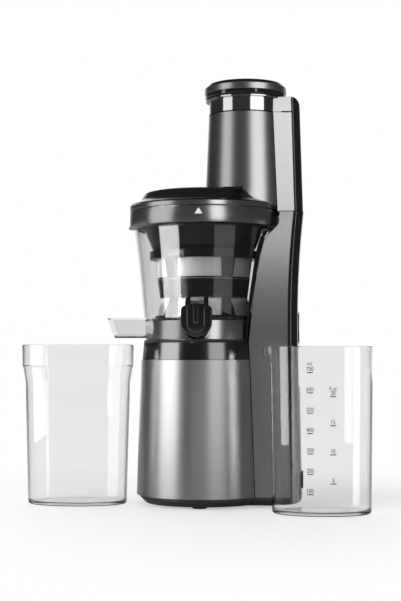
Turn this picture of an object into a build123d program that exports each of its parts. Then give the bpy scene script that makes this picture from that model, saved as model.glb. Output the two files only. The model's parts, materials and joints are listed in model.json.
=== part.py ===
"""Cold press juicer with its pulp cup and juice jug. Millimetres, +Z up.

Every piece is drawn about the drive axis, with the floor at height 0, the spine towards +X and the juice
spout towards -Y. The whole set is then moved so that the origin is the middle of its footprint on the floor.
"""

from build123d import *
import math
import os

# ------------------------------------------------------------------ fits and clearances
running = 0.05  # radial clearance of a shaft, pin or planet in its bore
seam = 0.3  # joint line between two covers
lift_gap = 0.4  # round a piece that slides, turns or lifts out of another
backlash = 0.2  # between gear teeth, measured on the pitch circle

# ------------------------------------------------------------------ base: drum
foot_r = 8.0
foot_h = 2.0
foot_inset = 0.8  # how deep a foot sits in its pocket
foot_circle_r = 52.0
plate_h = 8.3
plate_bottom_r = 61.5
plate_top_r = 67.5
plate_floor_t = 3.0
plate_wall_t = 3.0
sleeve_bottom_r = 71.2
sleeve_top_r = 67.2
sleeve_h = 141.7
sleeve_t = 1.0
housing_wall = 2.6
deck_t = 3.0
base_collar_h = 18.4
base_collar_bottom_r = 66.9
base_collar_top_r = 65.3
base_collar_wall = 2.6
spigot_h = 5.0  # how far the collar reaches down inside the housing

plate_bottom = foot_h
plate_top = plate_bottom + plate_h
sleeve_bottom = plate_top + seam
sleeve_top = sleeve_bottom + sleeve_h
base_collar_bottom = sleeve_top + seam
base_top = base_collar_bottom + base_collar_h
housing_deck = sleeve_top - deck_t - spigot_h

# ------------------------------------------------------------------ base: spine
spine_half_width = 43.4
spine_top_half_width = 27.0
spine_straight_h = sleeve_top - 2.3  # height up to which its sides are parallel
spine_taper_power = 2.2
spine_foot_x = 104.0
spine_waist_x = 101.0
spine_waist_z = base_top + 19.0
spine_top_x = 107.2
spine_front_x = 30.0  # inside the drum, where its sides are cut off
spine_corner_r = 10.0
spine_skin_t = 1.2
chassis_wall = 2.5
front_cover_t = 2.0
panel_gap = 0.4
recess_gap = 1.2  # between the bowl's wall and the spine's hollow front
collar_relief = 6.0  # between the bowl's collar and the spine's hollow front
spine_stations = 12

# ------------------------------------------------------------------ bowl
bowl_gap = 2.4  # dark gap between the base and the bowl
bowl_foot_r = 58.0
bowl_wall = 2.8
bowl_floor_t = 2.8
bowl_floor_rise = 2.8  # floor's underside above the bowl's lowest edge
band_r = 62.8
band_t = 1.5
band_h = 20.2
bowl_low_r = 64.0
bowl_mid_r = 70.1
bowl_high_r = 74.3
bowl_low_rise = 22.6
bowl_mid_rise = 85.6
bowl_high_rise = 118.1
bowl_collar_r = 80.7
bowl_collar_h = 17.5
bowl_collar_wall = 3.0
hub_r = 12.0
hub_h = 14.0
seal_h = 2.0

bowl_bottom = base_top + bowl_gap
bowl_floor = bowl_bottom + bowl_floor_rise + bowl_floor_t
band_top = bowl_bottom + band_h
bowl_shoulder = bowl_bottom + bowl_high_rise
bowl_top = bowl_shoulder + 1.0 + bowl_collar_h
band_inner_r = band_r - band_t
hub_top = bowl_floor + hub_h

# ------------------------------------------------------------------ pulp spout and juice spout
pulp_reach = 101.5
pulp_bevel = 8.0
pulp_width = 36.0
pulp_rise = 2.2  # its underside above the bowl's lowest edge
pulp_h = 21.2
pulp_wall = 2.2
pulp_corner_r = 6.0
nozzle_r = 12.6
nozzle_wall = 2.4
nozzle_rise = 11.6
nozzle_reach = 85.0

# ------------------------------------------------------------------ juice stopper
stopper_half_width = 16.0
stopper_post_outer = 11.6
stopper_post_inner = 6.6
stopper_pin_r = 2.0
stopper_pin_y = -76.0
stopper_pin_rise = 36.6
stopper_t = 5.5
stopper_ridge_t = 3.6
stopper_head_r = 7.0
plug_r = 9.4
plug_tip_r = 7.8
plug_h = 2.4

# ------------------------------------------------------------------ strainer and auger
strainer_ring_r = 58.0
strainer_ring_h = 9.0
strainer_funnel_r = 66.0
strainer_funnel_low_r = 60.0
strainer_funnel_h = 29.0
strainer_top_r = 52.0
strainer_low_r = 47.0
strainer_foot_r = 53.3
strainer_wall = 2.2
strainer_ring_rise = 85.6  # of the ring's underside above the bowl's lowest edge
window_count = 5
window_width = 47.0
window_h = 19.5
window_low_rise = 25.6
window_high_rise = 66.1
window_phase = 52.5
mesh_t = 0.4
auger_core_r = 21.0
auger_flight_r = 43.0
auger_flight_t = 9.0
auger_turn = 400.0  # degrees that the flights wind from end to end
auger_flights = 2
auger_pin_r = 5.0
auger_pin_h = 12.0
auger_head_h = 8.0

# ------------------------------------------------------------------ lid and chute
lid_rim_h = 5.4
lid_rim_chamfer = 0.6
lid_skirt_r = 79.2
lid_skirt_edge_h = 1.0
lid_skirt_h = 6.0
lid_dome_r = 68.3
lid_dome_top_r = 63.5
lid_dome_h = 9.5
lid_ease_r = 6.0  # how far in, and how far down, the dome's top edge is eased
lid_ease_h = 1.5
lid_wall = 3.0
lid_spigot_h = 10.0
chute_x = 45.2
chute_inner_r = 34.0
chute_wall = 2.5
chute_low_r = 43.2
chute_high_r = 39.2
chute_sleeve_t = 1.2
chute_sleeve_edge = 21.7  # height of the sleeve's front edge above the bowl's top
chute_sleeve_top_rise = 103.6
chute_ring_h = 17.0
chute_ring_r = 39.0
chute_lip_r = 42.8
chute_lip_h = 2.2
swoop_drop = 18.0
swoop_length = 38.0
nose_r = 56.0  # plan radius of the lid's raised nose behind the sleeve's edge
nose_h = 4.6
nose_half_width = 15.0
upper_spine_low_half = 27.0
upper_spine_high_half = 25.0
upper_spine_low_x = 106.8
upper_spine_high_x = 103.2
upper_rear_depth = 8.6  # of the lid's rear shell, measured along its sides
upper_spine_top_r = 9.0

lid_bottom = bowl_top + seam
spine_top = bowl_top - 1.8  # the seam between the base's spine and the lid's
chute_sleeve_top = bowl_top + chute_sleeve_top_rise
chute_ring_bottom = chute_sleeve_top + seam
chute_top = chute_ring_bottom + chute_ring_h
upper_spine_top = chute_top - 1.2

# ------------------------------------------------------------------ pusher
pusher_lip_r = 43.4
pusher_lip_h = 4.9
pusher_band_r = 43.9
pusher_band_h = 6.9
pusher_crown_h = 4.0
pusher_crown_round = 2.6
pusher_wall = 2.4
pusher_reach = 86.0
pusher_lip_bottom = chute_top + seam

# ------------------------------------------------------------------ motor and gearbox
can_r = 31.0
can_wall = 2.0
magnet_t = 4.4
armature_r = 24.0
winding_r = 19.5
winding_h = 5.0
commutator_r = 9.0
commutator_h = 9.0
fan_r = 25.0
fan_h = 5.0
fan_blades = 9
shaft_r = 3.0
bush_t = 3.0
bush_h = 6.0
end_bell_h = 6.0
buffer_r = 29.0
buffer_t = 7.0
buffer_h = 5.0
buffer_seat_h = 15.0
module = 0.9
pressure_angle = math.radians(25)
sun_teeth = 12
planet_teeth = 30
planet_count = 3
gear_face = 10.0
pin_r = 3.0
carrier_t = 4.0
carrier_r = 27.0
gearbox_wall = 3.5
gearbox_end_t = 3.0
gearbox_cover_t = 4.0
output_r = 6.0
output_hex = 10.2
output_hex_h = 33.5
seal_r = 11.0
boss_r = 4.5
screw_r = 1.7
screw_head_r = 3.2
screw_head_h = 2.0
screw_space = 1.75  # between the gearbox's wall and a screw's head

ring_teeth = sun_teeth + 2 * planet_teeth
planet_orbit = module * (sun_teeth + planet_teeth) / 2
ring_outer_r = module * ring_teeth / 2 + 5.1
gearbox_r = ring_outer_r + running + gearbox_wall
boss_circle_r = gearbox_r + screw_head_r + screw_space
gearbox_flange_r = boss_circle_r + boss_r + 0.5
motor_bottom = plate_bottom + plate_floor_t + buffer_seat_h + buffer_h
gearbox_top = housing_deck - 8.0
gearbox_cover_bottom = gearbox_top - gearbox_cover_t
output_carrier_bottom = gearbox_cover_bottom - 1.0 - carrier_t
stage2_bottom = output_carrier_bottom - 1.0 - gear_face
stage1_carrier_top = stage2_bottom - 1.5
stage1_carrier_bottom = stage1_carrier_top - carrier_t
stage1_bottom = stage1_carrier_bottom - 1.0 - gear_face
gearbox_bottom = stage1_bottom - 1.5 - gearbox_end_t
can_bottom = motor_bottom + end_bell_h
output_hex_bottom = base_top - 1.0
output_top = output_hex_bottom + output_hex_h

# ------------------------------------------------------------------ switch, board and cord gland
switch_z = base_top + 15.0
switch_w = 22.0
switch_h = 30.0
switch_depth = 17.0
switch_wall = 1.6
bezel_border = 2.6
bezel_t = 1.4
bezel_seat = 0.6  # the bezel's back, outside the shell at the switch's middle
terminal_pitch = 9.0
terminal_length = 7.0
rocker_axle_r = 1.6
rocker_axle_depth = 1.0
board_t = 1.6
board_w = 46.0
board_h = 66.0
board_z = 86.0
board_x = 88.0
standoff_r = 3.0
gland_z = 26.0
gland_bore_r = 3.6
gland_r = 7.0
gland_flange_r = 9.5
gland_length = 12.0

# ------------------------------------------------------------------ pulp cup and juice jug
cup_wall = 2.0
cup_floor_t = 3.0
cup_edge = 3.0
pulp_cup_at = (-134.0, -12.0)
pulp_cup_h = 168.5
pulp_cup_foot = (105.0, 73.0)
pulp_cup_body = (112.0, 79.0)
pulp_cup_rim = (120.0, 86.0)
pulp_cup_rim_h = 24.1
pulp_cup_shoulder_h = 15.4
jug_at = (124.9, -84.0)
jug_h = 166.0
jug_foot = (98.4, 72.0)
jug_rim = (103.0, 76.0)
jug_lip_reach = 7.0
jug_lip_h = 14.0


# ------------------------------------------------------------------ helpers
def outline(*corners):
    """A closed face on the XZ plane, from corners (x, z) or (x, z, radius of its rounding)."""
    points = [(corner[0], 0, corner[1]) for corner in corners]
    radii = [corner[2] if len(corner) > 2 else 0 for corner in corners]
    if any(radii):
        return make_face(FilletPolyline(*points, radius=radii, close=True))
    return make_face(Polyline(*points, close=True))


def turned(*corners):
    return revolve(outline(*corners), Axis.Z)


def rod(radius, low, high, x=0.0, y=0.0):
    return Pos(x, y, (low + high) / 2) * Cylinder(radius, high - low)


def ring(outer, inner, low, high, x=0.0, y=0.0):
    return rod(outer, low, high, x, y) - rod(inner, low, high, x, y)


def block(x0, x1, y0, y1, z0, z1):
    middle = Pos((x0 + x1) / 2, (y0 + y1) / 2, (z0 + z1) / 2)
    return middle * Box(x1 - x0, y1 - y0, z1 - z0)


def slab(face, low, high):
    """A plan outline raised from one height to another."""
    return Pos(0, 0, low) * extrude(face, high - low)


def around(count, start=0.0):
    return [start + 360 * k / count for k in range(count)]


def polar(radius, degrees):
    angle = math.radians(degrees)
    return radius * math.cos(angle), radius * math.sin(angle)


def sleeve_r(z):
    """The motor sleeve's outer radius at a height."""
    return sleeve_bottom_r + (sleeve_top_r - sleeve_bottom_r) * (z - sleeve_bottom) / sleeve_h


# ------------------------------------------------------------------ spine envelope
def spine_rear(z):
    """The spine's rear face bows in to a waist."""
    if z < spine_waist_z:
        return spine_waist_x + (spine_foot_x - spine_waist_x) * ((spine_waist_z - z) / spine_waist_z) ** 2
    rise = (z - spine_waist_z) / (spine_top - spine_waist_z)
    return spine_waist_x + (spine_top_x - spine_waist_x) * rise**2


def spine_half(z):
    if z < spine_straight_h:
        return spine_half_width
    rise = (z - spine_straight_h) / (spine_top - spine_straight_h)
    return spine_half_width - (spine_half_width - spine_top_half_width) * rise**spine_taper_power


def spine_body(inset, low, high):
    """The spine's outer form, moved in by an inset on its sides, its back and its rear corners."""
    sections = []
    for k in range(spine_stations):
        z = low + (high - low) * k / (spine_stations - 1)
        rear = spine_rear(z) - inset
        front = spine_front_x - inset
        width = 2 * (spine_half(z) - inset)
        face = RectangleRounded(rear - front, width, spine_corner_r - inset)
        sections.append(Pos((front + rear) / 2, 0, z) * face)
    return loft(sections)


def recess(drum_gap, collar_gap, bowl_clearance):
    """What the spine's front is hollowed by: the drum, the collar above it and the bowl."""
    rim = bowl_collar_r + collar_relief + bowl_clearance
    return turned(
        (0, 0),
        (sleeve_r(0) + drum_gap, 0),
        (sleeve_top_r + drum_gap, sleeve_top),
        (base_collar_bottom_r + collar_gap, base_collar_bottom),
        (base_collar_top_r + recess_gap + bowl_clearance, base_top, 20.0),
        (bowl_mid_r + recess_gap + bowl_clearance, bowl_bottom + bowl_mid_rise, 60.0),
        (bowl_high_r + bowl_clearance, bowl_shoulder - 12.0, 10.0),
        (rim, bowl_shoulder + 3.0, 8.0),
        (rim, spine_top + 10.0),
        (0, spine_top + 10.0),
    )


def rear_zone(gap):
    """Everything behind the line where the side panels meet the rear shell."""
    steps = [k / 10 for k in range(11)]
    heights = [plate_top - 5 + (spine_top + 10 - plate_top) * step for step in steps]
    line = [(spine_rear(z) - spine_corner_r + gap, z) for z in heights]
    far = spine_top_x + 20
    (first_x, first_z), (last_x, last_z) = line[0], line[-1]
    edge = Spline(*[(x, 0, z) for x, z in line])
    sides = Polyline((last_x, 0, last_z), (far, 0, last_z), (far, 0, first_z), (first_x, 0, first_z))
    face = make_face([edge, sides])
    return extrude(face, 2 * spine_half_width, dir=(0, 1, 0), both=True)


# ------------------------------------------------------------------ base
def base_plan(drum, half_width, rear, corner):
    spine = Pos(rear / 2, 0) * RectangleRounded(rear, 2 * half_width, corner)
    return Circle(drum) + spine


foot_places = [polar(foot_circle_r, angle) for angle in (-90, 90, 180)]
foot_places += [(spine_foot_x - 18, side * (spine_half_width - 15)) for side in (-1, 1)]
base_screw_places = [polar(plate_bottom_r - 5.5, angle) for angle in (-45, 45, 135, 225)]
gearbox_screw_places = [polar(boss_circle_r, angle) for angle in (45, 135, 225, 315)]


def make_foot_plate():
    rim_in = plate_top_r - plate_bottom_r
    low = base_plan(plate_bottom_r, spine_half_width - rim_in, spine_foot_x - rim_in, spine_corner_r)
    high = base_plan(plate_top_r, spine_half_width - 0.4, spine_foot_x - 0.4, spine_corner_r)
    bevel_h = plate_h * 0.7
    plate = loft([Pos(0, 0, plate_bottom) * low, Pos(0, 0, plate_bottom + bevel_h) * high], ruled=True)
    plate += slab(high, plate_bottom + bevel_h, plate_top)
    floor_top = plate_bottom + plate_floor_t
    inside = base_plan(
        plate_bottom_r - plate_wall_t,
        spine_half_width - rim_in - plate_wall_t,
        spine_foot_x - rim_in - plate_wall_t,
        spine_corner_r - plate_wall_t,
    )
    plate -= slab(inside, floor_top, plate_top + 1)
    seat = ring(buffer_r, buffer_r - buffer_t, floor_top, floor_top + buffer_seat_h)
    plate += seat
    for x, y in base_screw_places:
        plate += rod(boss_r, floor_top, plate_top, x, y)
        plate -= rod(screw_r + 0.3, plate_bottom - 1, plate_top + 1, x, y)
        plate -= rod(screw_head_r + 0.3, plate_bottom - 1, plate_bottom + screw_head_h, x, y)
    for x, y in foot_places:
        plate -= rod(foot_r + 0.1, plate_bottom - 1, plate_bottom + foot_inset, x, y)
    for angle in around(12):
        plate -= Rot(0, 0, angle) * block(9, 19, -1.6, 1.6, plate_bottom - 1, floor_top + 1)
    return plate


def make_rubber_feet():
    top = plate_bottom + foot_inset
    foot = turned((0, 0), (foot_r - 1.2, 0), (foot_r, 1.0), (foot_r, top), (0, top))
    return [Pos(x, y) * foot for x, y in foot_places]


def make_base_housing():
    outer_low = sleeve_r(plate_top) - sleeve_t - running
    outer_high = sleeve_top_r - sleeve_t - running
    inner_low = outer_low - housing_wall
    inner_high = outer_high - housing_wall
    shell = turned(
        (plate_bottom_r - 4, plate_top),
        (outer_low, plate_top),
        (outer_high, sleeve_top),
        (inner_high, sleeve_top),
        (inner_high, housing_deck + deck_t),
        (seal_r + lift_gap, housing_deck + deck_t),
        (seal_r + lift_gap, housing_deck),
        (inner_high, housing_deck),
        (inner_low, plate_top + housing_wall),
        (plate_bottom_r - 4, plate_top + housing_wall),
    )
    doorway = block(0, sleeve_bottom_r, -18, 18, plate_top + 25, housing_deck - 25)
    shell -= doorway
    for x, y in base_screw_places:
        shell += rod(boss_r, plate_top, plate_top + 14, x, y)
        shell -= rod(screw_r, plate_top - 1, plate_top + 10, x, y)
    for x, y in gearbox_screw_places:
        shell += rod(boss_r, gearbox_top, housing_deck + 0.5, x, y)
        shell -= rod(screw_r, gearbox_top - 1, gearbox_top + 7, x, y)
    return shell


def make_motor_sleeve():
    skin = turned(
        (sleeve_bottom_r - sleeve_t, sleeve_bottom),
        (sleeve_bottom_r, sleeve_bottom),
        (sleeve_top_r, sleeve_top),
        (sleeve_top_r - sleeve_t, sleeve_top),
    )
    return skin - spine_body(-panel_gap, plate_top - 1, spine_straight_h + 10)


def make_base_collar():
    spigot_r = sleeve_top_r - sleeve_t - housing_wall - 2 * running
    wall_top = base_collar_top_r - base_collar_wall
    collar = turned(
        (seal_r + running, base_top - deck_t),
        (wall_top, base_top - deck_t),
        (spigot_r - base_collar_wall, base_collar_bottom),
        (spigot_r - base_collar_wall, housing_deck + deck_t),
        (spigot_r, housing_deck + deck_t),
        (spigot_r, base_collar_bottom - seam),
        (base_collar_bottom_r, base_collar_bottom - seam + 0.3),
        (base_collar_top_r, base_top, 1.2),
        (seal_r + running, base_top),
    )
    for angle in around(3, 60):
        x, y = polar(bowl_foot_r - 14, angle)
        collar += rod(5.0, base_top - 0.5, base_top + bowl_gap + bowl_floor_rise - lift_gap, x, y)
    return collar


def skin_shell():
    low = plate_top + seam
    return spine_body(0, low, spine_top) - spine_body(spine_skin_t, low - 1, spine_top + 1)


def make_spine_chassis():
    low, high = plate_top, spine_top - spine_skin_t
    frame = spine_body(spine_skin_t + running, low, high)
    frame -= spine_body(spine_skin_t + running + chassis_wall, low - 1, high - chassis_wall)
    frame -= recess(running - sleeve_t, running, front_cover_t + running)
    wall_x = spine_rear(board_z)
    for y in (-board_w / 2 + 5, board_w / 2 - 5):
        for z in (board_z - board_h / 2 + 5, board_z + board_h / 2 - 5):
            post = Pos((board_x + board_t + wall_x - 3) / 2, y, z) * Rot(0, 90, 0)
            frame += post * Cylinder(standoff_r, wall_x - 3 - board_x - board_t)
    return frame - switch_cut(lift_gap) - gland_cut(running)


def make_spine_side_panels(shell):
    panels = shell - recess(seam, seam, 0) - rear_zone(-panel_gap)
    return panels - block(-50, 200, -5, 5, 0, 400)


def make_spine_rear_shell(shell):
    rear = shell & rear_zone(0)
    return rear - switch_cut(lift_gap) - gland_cut(running)


def make_spine_front_cover():
    lining = recess(running - sleeve_t, running, front_cover_t) - recess(running - sleeve_t, running, 0)
    lining -= rod(bowl_collar_r, 0, base_top)
    return lining & spine_body(spine_skin_t + 2 * running, plate_top, spine_top - spine_skin_t)


# ------------------------------------------------------------------ switch, gland and board
def switch_face():
    return spine_rear(switch_z)


def switch_cut(gap):
    x = switch_face()
    half_w, half_h = switch_w / 2 + gap, switch_h / 2 + gap
    return block(x - 12, x + 5, -half_w, half_w, switch_z - half_h, switch_z + half_h)


def make_switch_housing():
    x = switch_face() + bezel_seat
    back = x - switch_depth
    half_w, half_h = switch_w / 2, switch_h / 2
    border_w, border_h = half_w + bezel_border, half_h + bezel_border
    inner_w, inner_h = half_w - switch_wall, half_h - switch_wall
    body = block(back, x, -half_w, half_w, switch_z - half_h, switch_z + half_h)
    bezel = block(x, x + bezel_t, -border_w, border_w, switch_z - border_h, switch_z + border_h)
    bezel = fillet(bezel.edges().filter_by(Axis.X), bezel_border)
    cavity = block(back + switch_wall, x + 5, -inner_w, inner_w, switch_z - inner_h, switch_z + inner_h)
    axle = Pos(x - rocker_axle_depth, 0, switch_z) * Rot(90, 0, 0)
    housing = body + bezel - cavity - axle * Cylinder(rocker_axle_r + running, switch_w - 1.2)
    for z in (switch_z - terminal_pitch, switch_z, switch_z + terminal_pitch):
        housing += block(back - terminal_length, back, -3, 3, z - 0.4, z + 0.4)
    return housing


def make_rocker():
    x = switch_face() + bezel_seat
    half_w = switch_w / 2 - switch_wall - lift_gap
    half_h = switch_h / 2 - switch_wall - 1.0
    paddle = make_face(
        Polyline(
            (x - 6, 0, switch_z - half_h + 3),
            (x + 2.4, 0, switch_z - half_h),
            (x + 1.2, 0, switch_z),
            (x + 2.4, 0, switch_z + half_h),
            (x - 6, 0, switch_z + half_h - 3),
            close=True,
        )
    )
    body = extrude(paddle, half_w, dir=(0, 1, 0), both=True)
    axle = Pos(x - rocker_axle_depth, 0, switch_z) * Rot(90, 0, 0) * Cylinder(rocker_axle_r, switch_w - 1.8)
    return body + axle


def gland_cut(gap):
    x = spine_rear(gland_z)
    return Pos(x - 5, 0, gland_z) * Rot(0, 90, 0) * Cylinder(gland_r + gap, 30)


def make_cord_gland():
    x = spine_rear(gland_z)
    on_axis = Pos(x, 0, gland_z) * Rot(0, 90, 0)
    body = on_axis * Pos(0, 0, 1.5 - gland_length / 2) * Cylinder(gland_r, gland_length)
    flange = on_axis * Pos(0, 0, 1.2) * Cylinder(gland_flange_r, 1.8)
    nut = on_axis * Pos(0, 0, -8.2) * Cylinder(gland_flange_r, 3.5)
    return body + flange + nut - on_axis * Cylinder(gland_bore_r, 4 * gland_length)


def make_control_board():
    x = board_x
    board = block(x, x + board_t, -board_w / 2, board_w / 2, board_z - board_h / 2, board_z + board_h / 2)
    relay = block(x - 15, x, -20, -5, board_z - 28, board_z - 9)
    choke = Pos(x - 5, 10, board_z - 18) * Rot(0, 90, 0) * Cylinder(8, 10)
    smoothing = Pos(x - 11, 11, board_z + 8) * Rot(0, 90, 0) * Cylinder(6, 22)
    chip = block(x - 3, x, -16, -6, board_z, board_z + 10)
    sink = block(x - 14, x, -20, 6, board_z + 20, board_z + 23)
    return [board, relay, choke, smoothing, chip, sink]


# ------------------------------------------------------------------ motor
def make_motor_can():
    top = gearbox_bottom
    can = ring(can_r, can_r - can_wall, can_bottom, top)
    return can + ring(can_r, shaft_r + running + bush_t + running, top - 3, top)


def make_motor_end_bell():
    bell = ring(can_r, shaft_r + running + bush_t + running, motor_bottom, can_bottom)
    for angle in (0, 120, 240):
        bell -= rod(5.0, motor_bottom - 1, can_bottom + 1, *polar(19, angle + 60))
    for y in (-1, 1):
        bell += block(-5, 5, min(y * 13, y * 22), max(y * 13, y * 22), can_bottom - 0.1, can_bottom + 3)
    return bell


def make_motor_bushes():
    inner, outer = shaft_r + running, shaft_r + running + bush_t
    low = ring(outer, inner, motor_bottom, motor_bottom + bush_h)
    high = ring(outer, inner, gearbox_bottom - 3, gearbox_bottom)
    output = ring(output_r + running + bush_t, output_r + running, gearbox_cover_bottom, gearbox_top)
    return [low, high, output]


core_low = can_bottom + 3 + commutator_h + 2 + winding_h
core_high = gearbox_bottom - 3 - 3 - fan_h - 1.5 - winding_h


def make_motor_magnets():
    shell = ring(can_r - can_wall, can_r - can_wall - magnet_t, core_low - 3, core_high + 3)
    return shell - block(-9, 9, -can_r, can_r, core_low - 5, core_high + 5)


def make_armature():
    core = ring(armature_r, shaft_r, core_low, core_high)
    for angle in around(12):
        core -= Rot(0, 0, angle) * block(12, armature_r + 1, -1.2, 1.2, core_low - 1, core_high + 1)
    low = ring(winding_r, shaft_r, core_low - winding_h, core_low)
    high = ring(winding_r, shaft_r, core_high, core_high + winding_h)
    return [core, low, high]


def make_commutator():
    low = core_low - winding_h - commutator_h
    drum = ring(commutator_r, shaft_r, low, low + commutator_h)
    slot = block(commutator_r - 0.8, commutator_r + 1, -0.3, 0.3, low - 1, low + commutator_h + 1)
    for angle in around(12):
        drum -= Rot(0, 0, angle) * slot
    return drum


def make_motor_brushes():
    brushes = []
    for side in (-1, 1):
        near, far = side * (commutator_r + 0.1), side * (commutator_r + 12)
        brushes.append(block(-2.5, 2.5, min(near, far), max(near, far), can_bottom + 3, can_bottom + 9))
    return brushes


def make_cooling_fan():
    low = core_high + winding_h + 1.5
    fan = ring(fan_r - 1, shaft_r, low, low + 1.2) + ring(7, shaft_r, low, low + fan_h)
    for angle in around(fan_blades):
        fan += Rot(0, 0, angle) * Pos(15.5, 0, low + fan_h / 2) * Rot(0, 0, 25) * Box(16, 1.2, fan_h)
    return fan & rod(fan_r, low, low + fan_h)


def make_motor_buffer():
    return ring(buffer_r, buffer_r - buffer_t, motor_bottom - buffer_h, motor_bottom)


# ------------------------------------------------------------------ gears
def involute(angle):
    return math.tan(angle) - angle


def gear_outline(teeth, internal=False, half_pitch=False):
    """A spur gear's outline, with a flat from root to pitch circle and from pitch circle to tip."""
    pitch_r = module * teeth / 2
    sign = -1 if internal else 1
    tip_r = pitch_r + sign * module * (0.85 if internal else 1.0)
    root_r = pitch_r - sign * module * 1.25
    thin = backlash / 4 / pitch_r

    def half_angle(radius):
        pressure = math.acos(min(1.0, pitch_r * math.cos(pressure_angle) / radius))
        flank = involute(pressure_angle) - involute(pressure)
        return math.pi / 2 / teeth - thin + sign * flank

    points = []
    for tooth in range(teeth):
        middle = 2 * math.pi * (tooth + (0.5 if half_pitch else 0)) / teeth
        radii = (root_r, pitch_r, tip_r)
        for radius, side in [(r, -1) for r in radii] + [(r, 1) for r in reversed(radii)]:
            angle = middle + side * half_angle(radius)
            points.append((radius * math.cos(angle), radius * math.sin(angle)))
    return make_face(Polyline(*points, close=True))


def make_ring_gear():
    low, high = stage1_bottom - 1.0, output_carrier_bottom - 0.5
    return slab(Circle(ring_outer_r) - gear_outline(ring_teeth, internal=True), low, high)


def make_planet(low, place):
    gear = slab(gear_outline(planet_teeth, half_pitch=True), low, low + gear_face)
    gear -= rod(pin_r + running, low - 1, low + gear_face + 1)
    for angle in around(5):
        gear -= rod(2.6, low - 1, low + gear_face + 1, *polar(8.2, angle + 18))
    return Rot(0, 0, 360 * place / planet_count) * Pos(planet_orbit, 0, 0) * gear


def carrier(low, gear_low):
    """A plate with a pin down through each of the planets under it."""
    plate = rod(carrier_r, low, low + carrier_t)
    for angle in around(planet_count):
        x, y = polar(planet_orbit, angle)
        plate += rod(pin_r, gear_low + 0.5, low, x, y) + rod(pin_r + 2, low - 0.6, low, x, y)
    return plate


def make_motor_shaft():
    shaft = rod(shaft_r, motor_bottom + 0.5, stage1_bottom + 0.5)
    return shaft + slab(gear_outline(sun_teeth), stage1_bottom, stage1_bottom + gear_face)


def make_stage1_carrier():
    sun = slab(gear_outline(sun_teeth), stage1_carrier_top, stage2_bottom + gear_face)
    return carrier(stage1_carrier_bottom, stage1_bottom) + sun


def make_output_shaft():
    shaft = rod(output_r, output_carrier_bottom + carrier_t, output_hex_bottom)
    hexagon = slab(RegularPolygon(output_hex / 2, 6, major_radius=False), output_hex_bottom, output_top)
    return carrier(output_carrier_bottom, stage2_bottom) + shaft + hexagon


def make_gearbox_case():
    case = ring(gearbox_r, ring_outer_r + running, gearbox_bottom, gearbox_cover_bottom)
    case += ring(gearbox_r, shaft_r + 4, gearbox_bottom, gearbox_bottom + gearbox_end_t)
    seat = ring(ring_outer_r + 1, ring_outer_r - 3, gearbox_bottom + gearbox_end_t, stage1_bottom - 1.0)
    return case + seat


def make_gearbox_cover():
    cover = ring(gearbox_flange_r, output_r + 2 * running + bush_t, gearbox_cover_bottom, gearbox_top)
    for x, y in gearbox_screw_places:
        cover -= rod(screw_r + 0.3, gearbox_cover_bottom - 1, gearbox_top + 1, x, y)
    return cover


def make_shaft_seal():
    return ring(seal_r, output_r + running, housing_deck, base_top)


def make_housing_screws():
    def screw(x, y, head_z, length):
        shank = rod(screw_r - running, head_z, head_z + length, x, y)
        return shank + rod(screw_head_r, head_z - screw_head_h, head_z, x, y)

    low = [screw(x, y, plate_bottom + screw_head_h, plate_h + 4) for x, y in base_screw_places]
    high = [screw(x, y, gearbox_cover_bottom, gearbox_cover_t + 6) for x, y in gearbox_screw_places]
    return low + high


# ------------------------------------------------------------------ bowl
def bowl_r(rise):
    """The bowl's outer radius at a rise above its lowest edge, on the clear wall."""
    points = [(bowl_low_rise, bowl_low_r), (bowl_mid_rise, bowl_mid_r), (bowl_high_rise, bowl_high_r)]
    (z0, r0), (z1, r1) = points[:2] if rise < bowl_mid_rise else points[1:]
    return r0 + (r1 - r0) * (rise - z0) / (z1 - z0)


def pulp_duct(inset, start, stop):
    """The duct's section, square above and rounded below, drawn out along -X."""
    half = pulp_width / 2 - inset
    low, high = bowl_bottom + pulp_rise + inset, bowl_bottom + pulp_rise + pulp_h - inset
    radius = max(pulp_corner_r - inset, 1)
    points = [(0, -half, high), (0, -half, low), (0, half, low), (0, half, high)]
    face = make_face(FilletPolyline(*points, radius=[0, radius, radius, 0], close=True))
    return Pos(stop, 0, 0) * extrude(face, start - stop, dir=(1, 0, 0))


def nozzle_bore(radius, start, stop):
    z = bowl_bottom + nozzle_rise
    return Pos(0, (start + stop) / 2, z) * Rot(90, 0, 0) * Cylinder(radius, abs(start - stop))


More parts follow.
